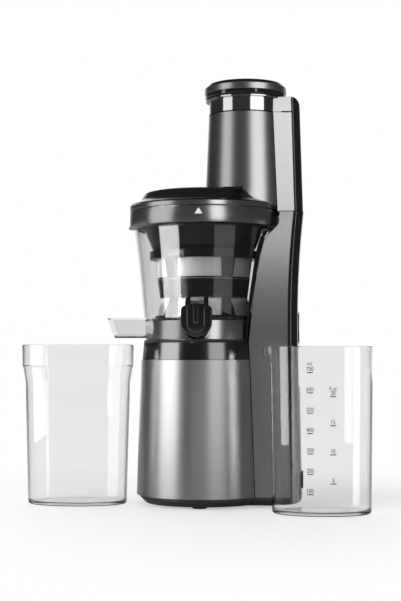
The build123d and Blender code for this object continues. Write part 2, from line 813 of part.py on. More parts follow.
def make_juicing_bowl():
    low_r = bowl_low_r - 0.6
    floor_low = bowl_bottom + bowl_floor_rise
    bowl = turned(
        (hub_r, floor_low),
        (bowl_foot_r - bowl_wall, floor_low),
        (bowl_foot_r - bowl_wall, base_top),
        (bowl_foot_r, base_top),
        (bowl_foot_r, bowl_bottom),
        (band_inner_r - running, bowl_bottom),
        (band_inner_r - running, band_top + running),
        (low_r, band_top + running),
        (bowl_low_r, bowl_bottom + bowl_low_rise),
        (bowl_mid_r, bowl_bottom + bowl_mid_rise, 150.0),
        (bowl_high_r, bowl_shoulder, 2.0),
        (bowl_collar_r, bowl_shoulder + 1.0, 3.0),
        (bowl_collar_r, bowl_top),
        (bowl_collar_r - bowl_collar_wall, bowl_top),
        (bowl_collar_r - bowl_collar_wall, bowl_shoulder + 4.0, 1.5),
        (bowl_high_r - bowl_wall, bowl_shoulder + 2.0, 2.0),
        (bowl_mid_r - bowl_wall, bowl_bottom + bowl_mid_rise, 150.0),
        (bowl_low_r - bowl_wall, bowl_bottom + bowl_low_rise, 3.0),
        (band_inner_r - bowl_wall, band_top - 4, 3.0),
        (band_inner_r - bowl_wall, bowl_floor, 1.5),
        (hub_r, bowl_floor),
    )
    bowl += turned(
        (output_r + 1.0, floor_low),
        (hub_r + 0.2, floor_low),
        (hub_r + 0.2, bowl_floor),
        (hub_r, bowl_floor),
        (hub_r, hub_top),
        (output_r + 1.0, hub_top),
    )
    bowl -= pulp_duct(-running, 0, -bowl_collar_r)
    bowl -= nozzle_bore(nozzle_r + running, -40, -bowl_collar_r)
    return bowl + hinge_block()


def hinge_block():
    """The clear tongue on the bowl's front that carries the stopper's pin."""
    z = bowl_bottom + stopper_pin_rise
    inner = bowl_r(stopper_pin_rise) - bowl_wall / 2
    half = stopper_post_inner - 0.3
    radius = 4.6
    tongue = block(-half, half, stopper_pin_y, -inner, z - radius, z + radius)
    tongue += Pos(0, stopper_pin_y, z) * Rot(0, 90, 0) * Cylinder(radius, 2 * half)
    return tongue - Pos(0, stopper_pin_y, z) * Rot(0, 90, 0) * Cylinder(stopper_pin_r + running, 40)


def make_bowl_band():
    band = ring(band_r, band_inner_r, bowl_bottom, band_top)
    band = chamfer(band.edges().filter_by(GeomType.CIRCLE).group_by(SortBy.RADIUS)[-1], 0.4)
    band -= pulp_duct(-running, 0, -bowl_collar_r)
    return band - nozzle_bore(nozzle_r + running, -40, -bowl_collar_r)


def make_pulp_spout():
    inner_r = band_inner_r - bowl_wall
    duct = pulp_duct(0, -inner_r / 2, -pulp_reach) - pulp_duct(pulp_wall, 0, -pulp_reach - 5)
    low, high = bowl_bottom + pulp_rise - 1, bowl_bottom + pulp_rise + pulp_h + 1
    far = -pulp_reach - 9
    slant = outline((far, low), (-pulp_reach + pulp_bevel, low), (-pulp_reach, high), (far, high))
    wedge = extrude(slant, pulp_width, dir=(0, 1, 0), both=True)
    return duct - wedge - rod(inner_r, low - 1, high + 1)


def make_juice_spout():
    inner_r = band_inner_r - bowl_wall
    pipe = nozzle_bore(nozzle_r, -inner_r / 2, -nozzle_reach)
    pipe -= nozzle_bore(nozzle_r - nozzle_wall, 0, -nozzle_reach - 5)
    z = bowl_bottom + nozzle_rise
    return pipe - rod(inner_r, z - 20, z + 20)


def make_bowl_seal():
    return ring(hub_r, output_r + 0.5, hub_top, hub_top + seal_h)


# ------------------------------------------------------------------ strainer
def strainer_r(rise):
    """Outer radius of the strainer's basket at a rise above the bowl's lowest edge."""
    waist_rise = window_low_rise + window_h
    share = (rise - waist_rise) / (strainer_ring_rise - waist_rise)
    return strainer_low_r + (strainer_top_r - strainer_low_r) * share


def make_strainer_frame():
    wall = strainer_wall
    ring_z = bowl_bottom + strainer_ring_rise
    waist_z = bowl_bottom + window_low_rise + window_h
    foot_z = bowl_bottom + window_low_rise - 3.6
    funnel_z = ring_z + strainer_ring_h + strainer_funnel_h
    bottom = bowl_floor + 0.2
    frame = turned(
        (strainer_foot_r - wall, bottom),
        (strainer_foot_r, bottom),
        (strainer_foot_r, foot_z, 2.0),
        (strainer_low_r, waist_z, 10.0),
        (strainer_top_r, ring_z),
        (strainer_ring_r, ring_z, 0.8),
        (strainer_ring_r, ring_z + strainer_ring_h, 0.8),
        (strainer_top_r + 1, ring_z + strainer_ring_h),
        (strainer_funnel_low_r - 4, ring_z + strainer_ring_h + 4, 3.0),
        (strainer_funnel_r, funnel_z),
        (strainer_funnel_r - wall, funnel_z),
        (strainer_funnel_low_r - 4 - wall, ring_z + strainer_ring_h + 5, 3.0),
        (strainer_top_r - wall, ring_z),
        (strainer_low_r - wall, waist_z, 10.0),
        (strainer_foot_r - wall, foot_z, 2.0),
    )
    for rise in (window_low_rise, window_high_rise):
        for angle in around(window_count, window_phase):
            z = bowl_bottom + rise
            hole = block(30, strainer_ring_r + 5, -window_width / 2, window_width / 2, z, z + window_h)
            frame -= Rot(0, 0, angle) * hole
    frame -= pulp_duct(pulp_wall, 0, -bowl_collar_r)
    return frame


def make_strainer_mesh():
    """Two bands of fine mesh inside the basket, behind its windows."""
    inside = strainer_wall + running
    ring_z = bowl_bottom + strainer_ring_rise
    high_low = bowl_bottom + window_high_rise - 2
    waist_z = bowl_bottom + window_low_rise + window_h
    r0, r1 = strainer_r(window_high_rise - 2) - inside, strainer_r(strainer_ring_rise) - inside
    high = turned((r0, high_low), (r0 - mesh_t, high_low), (r1 - mesh_t, ring_z), (r1, ring_z))
    foot_z = bowl_bottom + window_low_rise - 3.6
    low_r = strainer_low_r - inside
    foot_r_in = strainer_foot_r - inside
    share = 0.12
    z0 = foot_z + (waist_z - foot_z) * share
    r2 = foot_r_in + (low_r - foot_r_in) * share
    share_top = 0.9
    z1 = foot_z + (waist_z - foot_z) * share_top
    r3 = foot_r_in + (low_r - foot_r_in) * share_top
    low = turned((r2, z0), (r2 - mesh_t, z0), (r3 - mesh_t, z1), (r3, z1))
    return [high, low]


# ------------------------------------------------------------------ auger
auger_bottom = bowl_floor + 1.0
auger_top = bowl_top - 12.0


def make_auger():
    """A core with two winding flights, a hexagonal socket below and a pin above."""
    blade = Pos(auger_flight_r / 2, 0) * Rectangle(auger_flight_r, auger_flight_t)
    blades = [Rot(0, 0, angle) * blade for angle in around(auger_flights)]
    section = (Circle(auger_core_r) + blades) & Circle(auger_flight_r)
    height = auger_top - auger_head_h - auger_bottom
    twisted = Solid.extrude_linear_with_rotation(section.face(), (0, 0, 0), (0, 0, height), auger_turn)
    body = Pos(0, 0, auger_bottom) * twisted
    cone = turned(
        (0, auger_bottom),
        (auger_flight_r + 1, auger_bottom),
        (auger_flight_r + 1, auger_top - 45),
        (auger_core_r + 4, auger_top - auger_head_h),
        (auger_core_r, auger_top - auger_head_h),
        (auger_pin_r + 3, auger_top),
        (0, auger_top),
    )
    head = turned(
        (0, auger_top - auger_head_h - 2),
        (auger_core_r - 1, auger_top - auger_head_h - 2),
        (auger_core_r - 1, auger_top - auger_head_h),
        (auger_pin_r + 3, auger_top),
        (auger_pin_r, auger_top),
        (auger_pin_r, auger_top + auger_pin_h),
        (0, auger_top + auger_pin_h),
    )
    auger = (body & cone) + head
    auger -= rod(hub_r + lift_gap, auger_bottom - 1, hub_top + seal_h + lift_gap)
    return auger - rod(socket_r + running, hub_top + seal_h, socket_top)


socket_r = 9.0
socket_top = output_top + 2.0


def make_auger_socket():
    low = hub_top + seal_h + lift_gap
    socket = rod(socket_r, low, socket_top - running)
    hexagon = RegularPolygon(output_hex / 2 + 2 * running, 6, major_radius=False)
    return socket - slab(hexagon, low - 1, output_top + 0.5)


# ------------------------------------------------------------------ lid
def chute_sleeve_r(z):
    low = bowl_top + 10
    return chute_low_r + (chute_high_r - chute_low_r) * (z - low) / (chute_sleeve_top - low)


def upper_spine(inset, low, high):
    """The lid's part of the spine: sides that draw in slightly and a back that leans forward."""
    sections = []
    for z in (low, high):
        share = (z - spine_top) / (chute_top - spine_top)
        rear = upper_spine_low_x + (upper_spine_high_x - upper_spine_low_x) * share - inset
        front = chute_x - inset
        width = 2 * (upper_spine_low_half + (upper_spine_high_half - upper_spine_low_half) * share - inset)
        face = RectangleRounded(rear - front, width, spine_corner_r - inset)
        sections.append(Pos((front + rear) / 2, 0, z) * face)
    corner_x, corner_z = upper_spine_high_x - upper_spine_top_r, upper_spine_top - upper_spine_top_r
    corner = block(corner_x, corner_x + 40, -60, 60, corner_z, corner_z + 40)
    corner -= Pos(corner_x, 0, corner_z) * Rot(90, 0, 0) * Cylinder(upper_spine_top_r - inset, 120)
    return loft(sections, ruled=True) - corner


def chute_space(grow):
    """All that the chute's tube, its top ring and its lip take, grown by a distance."""
    lip_low = chute_top - chute_lip_h - grow
    space = chute_cone(grow, spine_top - 5, chute_sleeve_top)
    space += rod(chute_ring_r + grow, chute_sleeve_top, chute_top + 5, chute_x, 0)
    return space + rod(chute_lip_r + grow, lip_low, chute_top + 5, chute_x, 0)


def chute_cone(grow, low, high):
    """The chute's outer cone, grown by a distance, between two heights."""
    low_r, high_r = chute_sleeve_r(low) + grow, chute_sleeve_r(high) + grow
    return Pos(chute_x, 0, 0) * turned((0, low), (low_r, low), (high_r, high), (0, high))


def swoop(grow):
    """The solid under the sleeve's lower edge: level at the front, then sweeping down to the collar."""
    edge = bowl_top + chute_sleeve_edge + grow
    low = edge - swoop_drop
    start = chute_x - 1
    front, back, bottom, end = -10, 150, low - 20, start + swoop_length
    level = Polyline(
        (start, 0, edge),
        (front, 0, edge),
        (front, 0, bottom),
        (back, 0, bottom),
        (back, 0, low),
        (end, 0, low),
    )
    sweep = Spline((end, 0, low), (start + 25, 0, low + 2), (start + 13, 0, low + 6.5), (start, 0, edge))
    return extrude(make_face([level, sweep]), 80, dir=(0, 1, 0), both=True)


def feed_hole():
    """The way from the chute into the bowl: the chute's bore, kept inside the collar."""
    collar_bore = bowl_collar_r - bowl_collar_wall - 4
    return (Pos(chute_x, 0) * Circle(chute_inner_r)) & Circle(collar_bore)


lid_rim_top = lid_bottom + lid_rim_h
lid_skirt_top = lid_rim_top + lid_skirt_h
lid_plate_top = lid_bottom + lid_wall
lid_top = lid_skirt_top + lid_dome_h
lid_spigot_r = bowl_collar_r - bowl_collar_wall - lift_gap
lid_inner_r = lid_spigot_r - lid_wall


def make_lid_rim():
    rim = turned(
        (lid_inner_r, lid_bottom - lid_spigot_h),
        (lid_spigot_r, lid_bottom - lid_spigot_h),
        (lid_spigot_r, lid_bottom),
        (bowl_collar_r - lid_rim_chamfer, lid_bottom),
        (bowl_collar_r, lid_bottom + lid_rim_chamfer),
        (bowl_collar_r, lid_rim_top - lid_rim_chamfer),
        (bowl_collar_r - lid_rim_chamfer, lid_rim_top),
        (lid_inner_r, lid_rim_top),
    )
    return rim - chute_cone(running, bowl_top - 40, chute_top) - upper_spine(-running, spine_top, chute_top)


def lid_nose():
    """The raised nose on the lid beside the chute, highest on the machine's middle line."""
    top = lid_top + nose_h
    ridge = Polyline(
        (0, -nose_r, lid_top - lid_wall),
        (0, -nose_r, lid_top),
        (0, -nose_half_width, top),
        (0, nose_half_width, top),
        (0, nose_r, lid_top),
        (0, nose_r, lid_top - lid_wall),
        close=True,
    )
    roof = Pos(chute_x - nose_r, 0, 0) * extrude(make_face(ridge), nose_r, dir=(1, 0, 0))
    return roof & rod(nose_r, lid_top - lid_wall, top + 1, chute_x, 0)


def make_lid_cover():
    """The black lid: a plate with a spigot below it, a dome, and a nose that carries the chute."""
    sleeve_edge = bowl_top + chute_sleeve_edge
    edge_r = lid_inner_r - running
    inner_r = edge_r - lid_wall
    skirt_low = lid_rim_top + running
    cover = turned(
        (0, lid_bottom),
        (inner_r, lid_bottom),
        (inner_r, lid_bottom - lid_spigot_h),
        (edge_r, lid_bottom - lid_spigot_h),
        (edge_r, skirt_low),
        (lid_skirt_r, skirt_low),
        (lid_skirt_r, skirt_low + lid_skirt_edge_h),
        (lid_dome_r, lid_skirt_top, 3.0),
        (lid_dome_top_r, lid_top - lid_ease_h, 2.0),
        (lid_dome_top_r - lid_ease_r, lid_top, 4.0),
        (0, lid_top),
        (0, lid_top - lid_wall),
        (lid_dome_top_r - lid_ease_r, lid_top - lid_wall),
        (lid_dome_r - lid_wall, lid_skirt_top - lid_wall),
        (inner_r, lid_rim_top + lid_ease_h),
        (inner_r, lid_plate_top),
        (0, lid_plate_top),
    )
    cover += lid_nose()
    cover -= chute_cone(seam, lid_plate_top, chute_top) - swoop(-seam)
    cover += chute_cone(-chute_sleeve_t - running, lid_plate_top - 1, sleeve_edge + 3)
    cover += chute_cone(0, lid_bottom + 1, sleeve_edge + 4) & swoop(-seam)
    cover += rod(auger_pin_r + 4, auger_top + 1, lid_plate_top)
    cover -= rod(auger_pin_r + running, auger_top, auger_top + auger_pin_h + 1)
    cover -= slab(feed_hole(), bowl_top - 30, lid_plate_top + 1)
    cover -= rod(chute_inner_r + chute_wall + running, lid_plate_top, chute_top, chute_x, 0)
    return cover - upper_spine(-running, spine_top - 1, chute_top)


def make_chute_body():
    """The chute's plastic tube with its stiffening rims, and the frame of the lid's spine behind it."""
    low, high = lid_plate_top, chute_sleeve_top
    outer = chute_inner_r + chute_wall
    body = ring(outer, chute_inner_r, low, high, chute_x, 0)
    for z in (bowl_top + chute_sleeve_edge + 4, high - 4):
        rim = chute_cone(-chute_sleeve_t - running, z, z + 4)
        body += rim - rod(outer - 0.5, z - 1, z + 5, chute_x, 0)
    frame_low = spine_top + 2 * seam
    frame_top = upper_spine_top - spine_skin_t - running
    outside = spine_skin_t + running
    frame = upper_spine(outside, frame_low, frame_top)
    frame -= upper_spine(outside + chassis_wall, frame_low + chassis_wall, frame_top - chassis_wall)
    frame -= chute_space(running)
    frame -= rod(bowl_collar_r + lift_gap, bowl_top - 30, bowl_top + seam)
    return [body, frame]


def make_chute_sleeve():
    low = bowl_top + 1
    skin = chute_cone(0, low, chute_sleeve_top) - chute_cone(-chute_sleeve_t, low - 1, chute_sleeve_top + 1)
    skin -= swoop(0)
    return skin - upper_spine(-running, spine_top - 1, chute_top)


def make_chute_top_ring():
    low, high = chute_ring_bottom - seam, chute_top
    inner = chute_inner_r + running
    collar = turned(
        (inner, low),
        (chute_ring_r, low),
        (chute_ring_r, high - chute_lip_h),
        (chute_lip_r, high - chute_lip_h, 0.4),
        (chute_lip_r, high, 0.8),
        (inner, high, 0.8),
    )
    return Pos(chute_x, 0, 0) * collar


def upper_shell():
    low = spine_top + 2 * seam
    shell = upper_spine(0, low, upper_spine_top)
    shell -= upper_spine(spine_skin_t, low - 1, upper_spine_top - spine_skin_t)
    return shell - chute_space(seam) - rod(bowl_collar_r + lift_gap, 0, bowl_top + seam)


def upper_rear_zone(gap):
    low = (upper_spine_low_x - upper_rear_depth + gap, spine_top - 5)
    high = (upper_spine_high_x - upper_rear_depth + gap, chute_top + 5)
    face = outline(low, (low[0] + 60, low[1]), (high[0] + 60, high[1]), high)
    return extrude(face, 60, dir=(0, 1, 0), both=True)


def make_chute_side_panels(shell):
    panels = shell - upper_rear_zone(-panel_gap) - block(-50, 200, -5, 5, 0, 600)
    return panels - block(0, 200, -60, 60, chute_sleeve_top, chute_ring_bottom)


def make_chute_rear_shell(shell):
    return shell & upper_rear_zone(0)


# ------------------------------------------------------------------ pusher
def make_pusher_body():
    lip_low = pusher_lip_bottom
    band_low = lip_low + pusher_lip_h
    band_high = band_low + pusher_band_h
    stem_r = chute_inner_r - lift_gap
    stem_low = lip_low - pusher_reach
    body = turned(
        (0, stem_low),
        (stem_r, stem_low, 2.0),
        (stem_r, lip_low),
        (pusher_lip_r, lip_low, 1.6),
        (pusher_lip_r, band_low),
        (pusher_band_r - 1.4, band_low),
        (pusher_band_r - 1.4, band_high),
        (pusher_band_r - 4.4, band_high + pusher_crown_h, pusher_crown_round),
        (0, band_high + pusher_crown_h),
    )
    hollow = rod(stem_r - pusher_wall, stem_low + pusher_wall, band_high - 1.0)
    return Pos(chute_x, 0, 0) * (body - hollow)


def make_pusher_band():
    low = pusher_lip_bottom + pusher_lip_h
    high = low + pusher_band_h
    inner = pusher_band_r - 1.4 + running
    band = turned((inner, low), (pusher_band_r, low, 0.4), (pusher_band_r - 0.3, high, 0.5), (inner, high))
    return Pos(chute_x, 0, 0) * band


# ------------------------------------------------------------------ juice stopper
def make_stopper_lever():
    """A flap over the nozzle's mouth, hung from two posts that grip the bowl's hinge block."""
    z_pin = bowl_bottom + stopper_pin_rise
    z_nozzle = bowl_bottom + nozzle_rise
    back = -nozzle_reach - seam
    front = back - stopper_t
    z_low = z_nozzle - stopper_half_width + 6.5
    z_top = z_low + 2 * stopper_half_width
    points = [
        (-stopper_half_width, 0, z_top),
        (-stopper_half_width, 0, z_low),
        (stopper_half_width, 0, z_low),
        (stopper_half_width, 0, z_top),
        (stopper_post_outer, 0, z_top + 5),
        (-stopper_post_outer, 0, z_top + 5),
    ]
    radii = [5.0, stopper_half_width - 0.2, stopper_half_width - 0.2, 5.0, 3.0, 3.0]
    face = make_face(FilletPolyline(*points, radius=radii, close=True))
    flap = Pos(0, back, 0) * extrude(face, stopper_t, dir=(0, -1, 0))
    ridge = Pos(0, front + 0.5, 0) * block(-4.5, 4.5, -stopper_ridge_t, 0, z_low + 4, z_top - 2)
    lever = flap + fillet(ridge.edges().filter_by(Axis.Z), 1.6)
    for side in (-1, 1):
        near, far = side * stopper_post_inner, side * stopper_post_outer
        x0, x1 = min(near, far), max(near, far)
        lever += block(x0, x1, front, stopper_pin_y, z_top - 2, z_pin + 3)
        eye = Pos((x0 + x1) / 2, stopper_pin_y, z_pin) * Rot(0, 90, 0)
        lever += eye * Cylinder(stopper_head_r, x1 - x0)
        lever -= eye * Cylinder(stopper_pin_r + 0.01, x1 - x0 + 10)
    half_slot = stopper_post_inner
    return lever - block(-half_slot, half_slot, front - 5, stopper_pin_y + 12, z_top - 1, z_pin + 12)


def make_stopper_pin():
    z_pin = bowl_bottom + stopper_pin_rise
    return Pos(0, stopper_pin_y, z_pin) * Rot(0, 90, 0) * Cylinder(stopper_pin_r, 2 * stopper_post_outer)


def make_stopper_seal():
    z = bowl_bottom + nozzle_rise
    back = -nozzle_reach - seam
    plug = Rot(-90, 0, 0) * turned((0, 0), (plug_r, 0), (plug_tip_r, plug_h), (0, plug_h))
    return Pos(0, back, z) * plug


# ------------------------------------------------------------------ cups
def oval_stack(at, levels):
    """Ovals one above the other, each (height, width, depth), joined by straight walls."""
    sections = [Pos(at[0], at[1], z) * Ellipse(width / 2, depth / 2) for z, width, depth in levels]
    return loft(sections, ruled=True)


def make_pulp_cup():
    rim_low = pulp_cup_h - pulp_cup_rim_h
    shoulder_low = rim_low - pulp_cup_shoulder_h
    mid = (pulp_cup_body[0] + 2, pulp_cup_body[1] + 2)
    outer = oval_stack(
        pulp_cup_at,
        [
            (0, pulp_cup_foot[0] - 2 * cup_edge, pulp_cup_foot[1] - 2 * cup_edge),
            (cup_edge * 0.3, pulp_cup_foot[0] - cup_edge * 0.6, pulp_cup_foot[1] - cup_edge * 0.6),
            (cup_edge, pulp_cup_foot[0], pulp_cup_foot[1]),
            (shoulder_low, pulp_cup_body[0], pulp_cup_body[1]),
            (rim_low, mid[0] + 3, mid[1] + 3),
            (rim_low + 1.5, pulp_cup_rim[0] - 1, pulp_cup_rim[1] - 1),
            (pulp_cup_h, pulp_cup_rim[0], pulp_cup_rim[1]),
        ],
    )
    wall = 2 * cup_wall
    inner = oval_stack(
        pulp_cup_at,
        [
            (cup_floor_t, pulp_cup_foot[0] - wall - 2, pulp_cup_foot[1] - wall - 2),
            (cup_floor_t + 2, pulp_cup_foot[0] - wall, pulp_cup_foot[1] - wall),
            (shoulder_low, pulp_cup_body[0] - wall, pulp_cup_body[1] - wall),
            (rim_low + 1.0, mid[0] + 3 - wall, mid[1] + 3 - wall),
            (rim_low + 2.5, pulp_cup_rim[0] - 1 - wall, pulp_cup_rim[1] - 1 - wall),
            (pulp_cup_h + 0.1, pulp_cup_rim[0] - wall, pulp_cup_rim[1] - wall),
        ],
    )
    return outer - inner


def make_juice_jug():
    wall = 2 * cup_wall
    outer = oval_stack(
        jug_at,
        [
            (0, jug_foot[0] - 2 * cup_edge, jug_foot[1] - 2 * cup_edge),
            (cup_edge * 0.3, jug_foot[0] - cup_edge * 0.6, jug_foot[1] - cup_edge * 0.6),
            (cup_edge, jug_foot[0], jug_foot[1]),
            (jug_h, jug_rim[0], jug_rim[1]),
        ],
    )
    inner = oval_stack(
        jug_at,
        [
            (cup_floor_t, jug_foot[0] - wall - 2, jug_foot[1] - wall - 2),
            (cup_floor_t + 2, jug_foot[0] - wall, jug_foot[1] - wall),
            (jug_h + 0.1, jug_rim[0] - wall, jug_rim[1] - wall),
        ],
    )
    edge_x = jug_at[0] - jug_rim[0] / 2

    def lip(radius, top):
        low = Pos(edge_x + jug_lip_reach + 2, jug_at[1], jug_h - jug_lip_h) * Circle(radius * 0.55)
        high = Pos(edge_x - jug_lip_reach + 9, jug_at[1], top) * Circle(radius)
        return loft([low, high], ruled=True)

    return outer + lip(9.0, jug_h) - inner - lip(9.0 - cup_wall, jug_h + 0.1)


# ------------------------------------------------------------------ the set
def build():
    lower_shell = skin_shell()
    lid_shell = upper_shell()
    parts = {
        "foot_plate": make_foot_plate(),
        "rubber_feet": make_rubber_feet(),
        "base_housing": make_base_housing(),
        "motor_sleeve": make_motor_sleeve(),
        "base_collar": make_base_collar(),
        "spine_chassis": make_spine_chassis(),
        "spine_side_panels": make_spine_side_panels(lower_shell),
        "spine_rear_shell": make_spine_rear_shell(lower_shell),
        "spine_front_cover": make_spine_front_cover(),
        "housing_screws": make_housing_screws(),
        "motor_can": make_motor_can(),
        "motor_end_bell": make_motor_end_bell(),
        "motor_magnets": make_motor_magnets(),
        "motor_brushes": make_motor_brushes(),
        "bushes": make_motor_bushes(),
        "motor_buffer": make_motor_buffer(),
        "motor_shaft": make_motor_shaft(),
        "armature": make_armature(),
        "commutator": make_commutator(),
        "cooling_fan": make_cooling_fan(),
        "gearbox_case": make_gearbox_case(),
        "gearbox_cover": make_gearbox_cover(),
        "ring_gear": make_ring_gear(),
        "stage1_carrier": make_stage1_carrier(),
        "output_shaft": make_output_shaft(),
        "shaft_seal": make_shaft_seal(),
        "control_board": make_control_board(),
        "switch_housing": make_switch_housing(),
        "rocker": make_rocker(),
        "cord_gland": make_cord_gland(),
        "juicing_bowl": make_juicing_bowl(),
        "bowl_band": make_bowl_band(),
        "pulp_spout": make_pulp_spout(),
        "juice_spout": make_juice_spout(),
        "bowl_seal": make_bowl_seal(),
        "strainer_frame": make_strainer_frame(),
        "strainer_mesh": make_strainer_mesh(),
        "auger": make_auger(),
        "auger_socket": make_auger_socket(),
        "lid_cover": make_lid_cover(),
        "lid_rim": make_lid_rim(),
        "chute_body": make_chute_body(),
        "chute_sleeve": make_chute_sleeve(),
        "chute_top_ring": make_chute_top_ring(),
        "chute_side_panels": make_chute_side_panels(lid_shell),
        "chute_rear_shell": make_chute_rear_shell(lid_shell),
        "pusher_body": make_pusher_body(),
        "pusher_band": make_pusher_band(),
        "stopper_lever": make_stopper_lever(),
        "stopper_pin": make_stopper_pin(),
        "stopper_seal": make_stopper_seal(),
        "pulp_cup": make_pulp_cup(),
        "juice_jug": make_juice_jug(),
    }
    for place in range(planet_count):
        parts[f"stage1_planet_{place + 1}"] = make_planet(stage1_bottom, place)
        parts[f"stage2_planet_{place + 1}"] = make_planet(stage2_bottom, place)
    return parts


def solids_of(part):
    pieces = part if isinstance(part, list) else [part]
    return [solid for piece in pieces for solid in piece.solids()]


footprint_x = (pulp_cup_at[0] - pulp_cup_rim[0] / 2, jug_at[0] + jug_rim[0] / 2)
footprint_y = (jug_at[1] - jug_rim[1] / 2, bowl_collar_r)
to_origin = Pos(-sum(footprint_x) / 2, -sum(footprint_y) / 2, 0)

os.makedirs("parts", exist_ok=True)
for name, part in build().items():
    placed = [to_origin * solid for solid in solids_of(part)]
    export_step(Compound(children=placed), f"parts/{name}.step")
print("drive axis at", to_origin.position)
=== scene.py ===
# %% [markdown]
# # A cold press juicer, finished for a picture
# The juicer's pieces come packed from its construction model, at their real size and place. This lesson
# gives them their looks: shader groups and materials, finer meshes where edges and curves matter most, and
# then the floor, the lights and the camera.

import json
import math

import bmesh
import bpy
import numpy as np
from mathutils import Matrix, Vector


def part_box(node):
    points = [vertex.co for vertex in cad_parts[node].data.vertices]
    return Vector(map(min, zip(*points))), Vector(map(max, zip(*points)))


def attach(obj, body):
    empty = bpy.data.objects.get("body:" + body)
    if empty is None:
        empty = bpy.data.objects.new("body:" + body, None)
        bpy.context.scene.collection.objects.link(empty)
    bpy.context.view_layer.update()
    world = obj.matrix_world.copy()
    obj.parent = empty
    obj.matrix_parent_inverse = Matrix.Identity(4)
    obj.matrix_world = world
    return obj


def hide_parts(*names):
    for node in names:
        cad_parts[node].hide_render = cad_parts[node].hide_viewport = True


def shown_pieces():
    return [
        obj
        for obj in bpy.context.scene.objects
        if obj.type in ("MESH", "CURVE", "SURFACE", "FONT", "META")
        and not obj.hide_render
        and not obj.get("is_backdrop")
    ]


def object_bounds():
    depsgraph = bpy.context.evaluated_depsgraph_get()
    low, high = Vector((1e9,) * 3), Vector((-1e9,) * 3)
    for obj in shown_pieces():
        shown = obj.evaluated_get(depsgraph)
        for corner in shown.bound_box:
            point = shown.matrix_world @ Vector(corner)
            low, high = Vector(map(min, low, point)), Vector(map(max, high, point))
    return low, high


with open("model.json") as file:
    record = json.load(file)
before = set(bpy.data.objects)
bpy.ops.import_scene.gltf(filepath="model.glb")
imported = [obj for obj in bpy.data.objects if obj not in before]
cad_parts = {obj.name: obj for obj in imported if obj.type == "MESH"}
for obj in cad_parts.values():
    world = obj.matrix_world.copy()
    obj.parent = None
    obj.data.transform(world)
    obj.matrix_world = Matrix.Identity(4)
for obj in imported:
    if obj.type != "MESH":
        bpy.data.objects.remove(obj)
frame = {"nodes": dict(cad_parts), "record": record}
cad_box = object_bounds()
nodes = frame["nodes"]

# %% [markdown]
# Every turned piece of the juicer shares one upright axis, the drive axis. It is read from the seal round
# the drive shaft. The feed chute has an axis of its own, read from the ring at its top.

# %% Axes and units
MM = 0.001


def middle_of(node):
    low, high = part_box(node)
    return (low + high) / 2


drive = middle_of("bowl_seal")
chute = middle_of("chute_top_ring")
print("drive axis", [round(v / MM, 2) for v in drive.xy], "chute axis", [round(v / MM, 2) for v in chute.xy])

# %% [markdown]
# ## Shader groups
# Materials and Geometry Nodes are both trees of nodes. These helpers add a node and feed its sockets, so
# that each tree below reads like a recipe. An effect that several finishes share becomes a node group with
# named inputs, and the last helper opens one.

# %% Helpers for node trees
FLOAT, VECTOR, INTEGER = "NodeSocketFloat", "NodeSocketVector", "NodeSocketInt"


def add(tree, kind, feeds=None, family="ShaderNode", **settings):
    """A node with its settings, its sockets fed by other sockets or by plain values."""
    node = tree.nodes.new(family + kind)
    for label, value in settings.items():
        setattr(node, label, value)
    for label, value in (feeds or {}).items():
        if isinstance(value, bpy.types.NodeSocket):
            tree.links.new(value, node.inputs[label])
        else:
            node.inputs[label].default_value = value
    return node


def out(tree, kind, feeds=None, **settings):
    """The first output of a new node."""
    return add(tree, kind, feeds, **settings).outputs[0]


def maths(tree, operation, first, second):
    return out(tree, "Math", {0: first, 1: second}, operation=operation)


def fitted(tree, value, low, high, start=0.0, end=1.0, smooth=False):
    """A value carried from one range to another."""
    feeds = {"Value": value, "From Min": low, "From Max": high, "To Min": start, "To Max": end}
    return out(tree, "MapRange", feeds, interpolation_type="SMOOTHSTEP" if smooth else "LINEAR")


def noise(tree, vector, scale, detail):
    """A noise texture read at a vector, from 0 to 1."""
    return add(tree, "TexNoise", {"Vector": vector, "Scale": scale, "Detail": detail}).outputs["Fac"]


def place_in(tree):
    """The place of a point in object coordinates."""
    return add(tree, "TexCoord").outputs["Object"]


def open_group(name, inputs, outputs):
    """A new shader group with its sockets, its input sockets by name, and its output node."""
    tree = bpy.data.node_groups.new(name, "ShaderNodeTree")
    for label, value in inputs.items():
        tree.interface.new_socket(name=label, in_out="INPUT", socket_type=FLOAT).default_value = value
    for label, kind in outputs.items():
        tree.interface.new_socket(name=label, in_out="OUTPUT", socket_type=kind)
    print("shader group", name)
    return tree, tree.nodes.new("NodeGroupInput").outputs, tree.nodes.new("NodeGroupOutput").inputs


# %% [markdown]
# Moulded plastic is never perfectly even: the tool leaves a fine grain, and the skin has broad, faint
# patches where it cooled faster. Two noises of different size, read in object coordinates, give both.


# %% Moulded grain
def make_grain_group():
    tree, given, ends = open_group(
        "Moulded grain",
        {"Grain per metre": 1500.0, "Patches per metre": 25.0},
        {"Height": FLOAT, "Patches": FLOAT},
    )
    place = place_in(tree)
    tree.links.new(noise(tree, place, given["Grain per metre"], 3.0), ends["Height"])
    tree.links.new(noise(tree, place, given["Patches per metre"], 2.0), ends["Patches"])
    return tree


grain_group = make_grain_group()

# %% [markdown]
# The metal skins are brushed round the drum, so the lines are long sideways and very fine upwards. The
# same noise does it when its place is squeezed along Z before it is read.


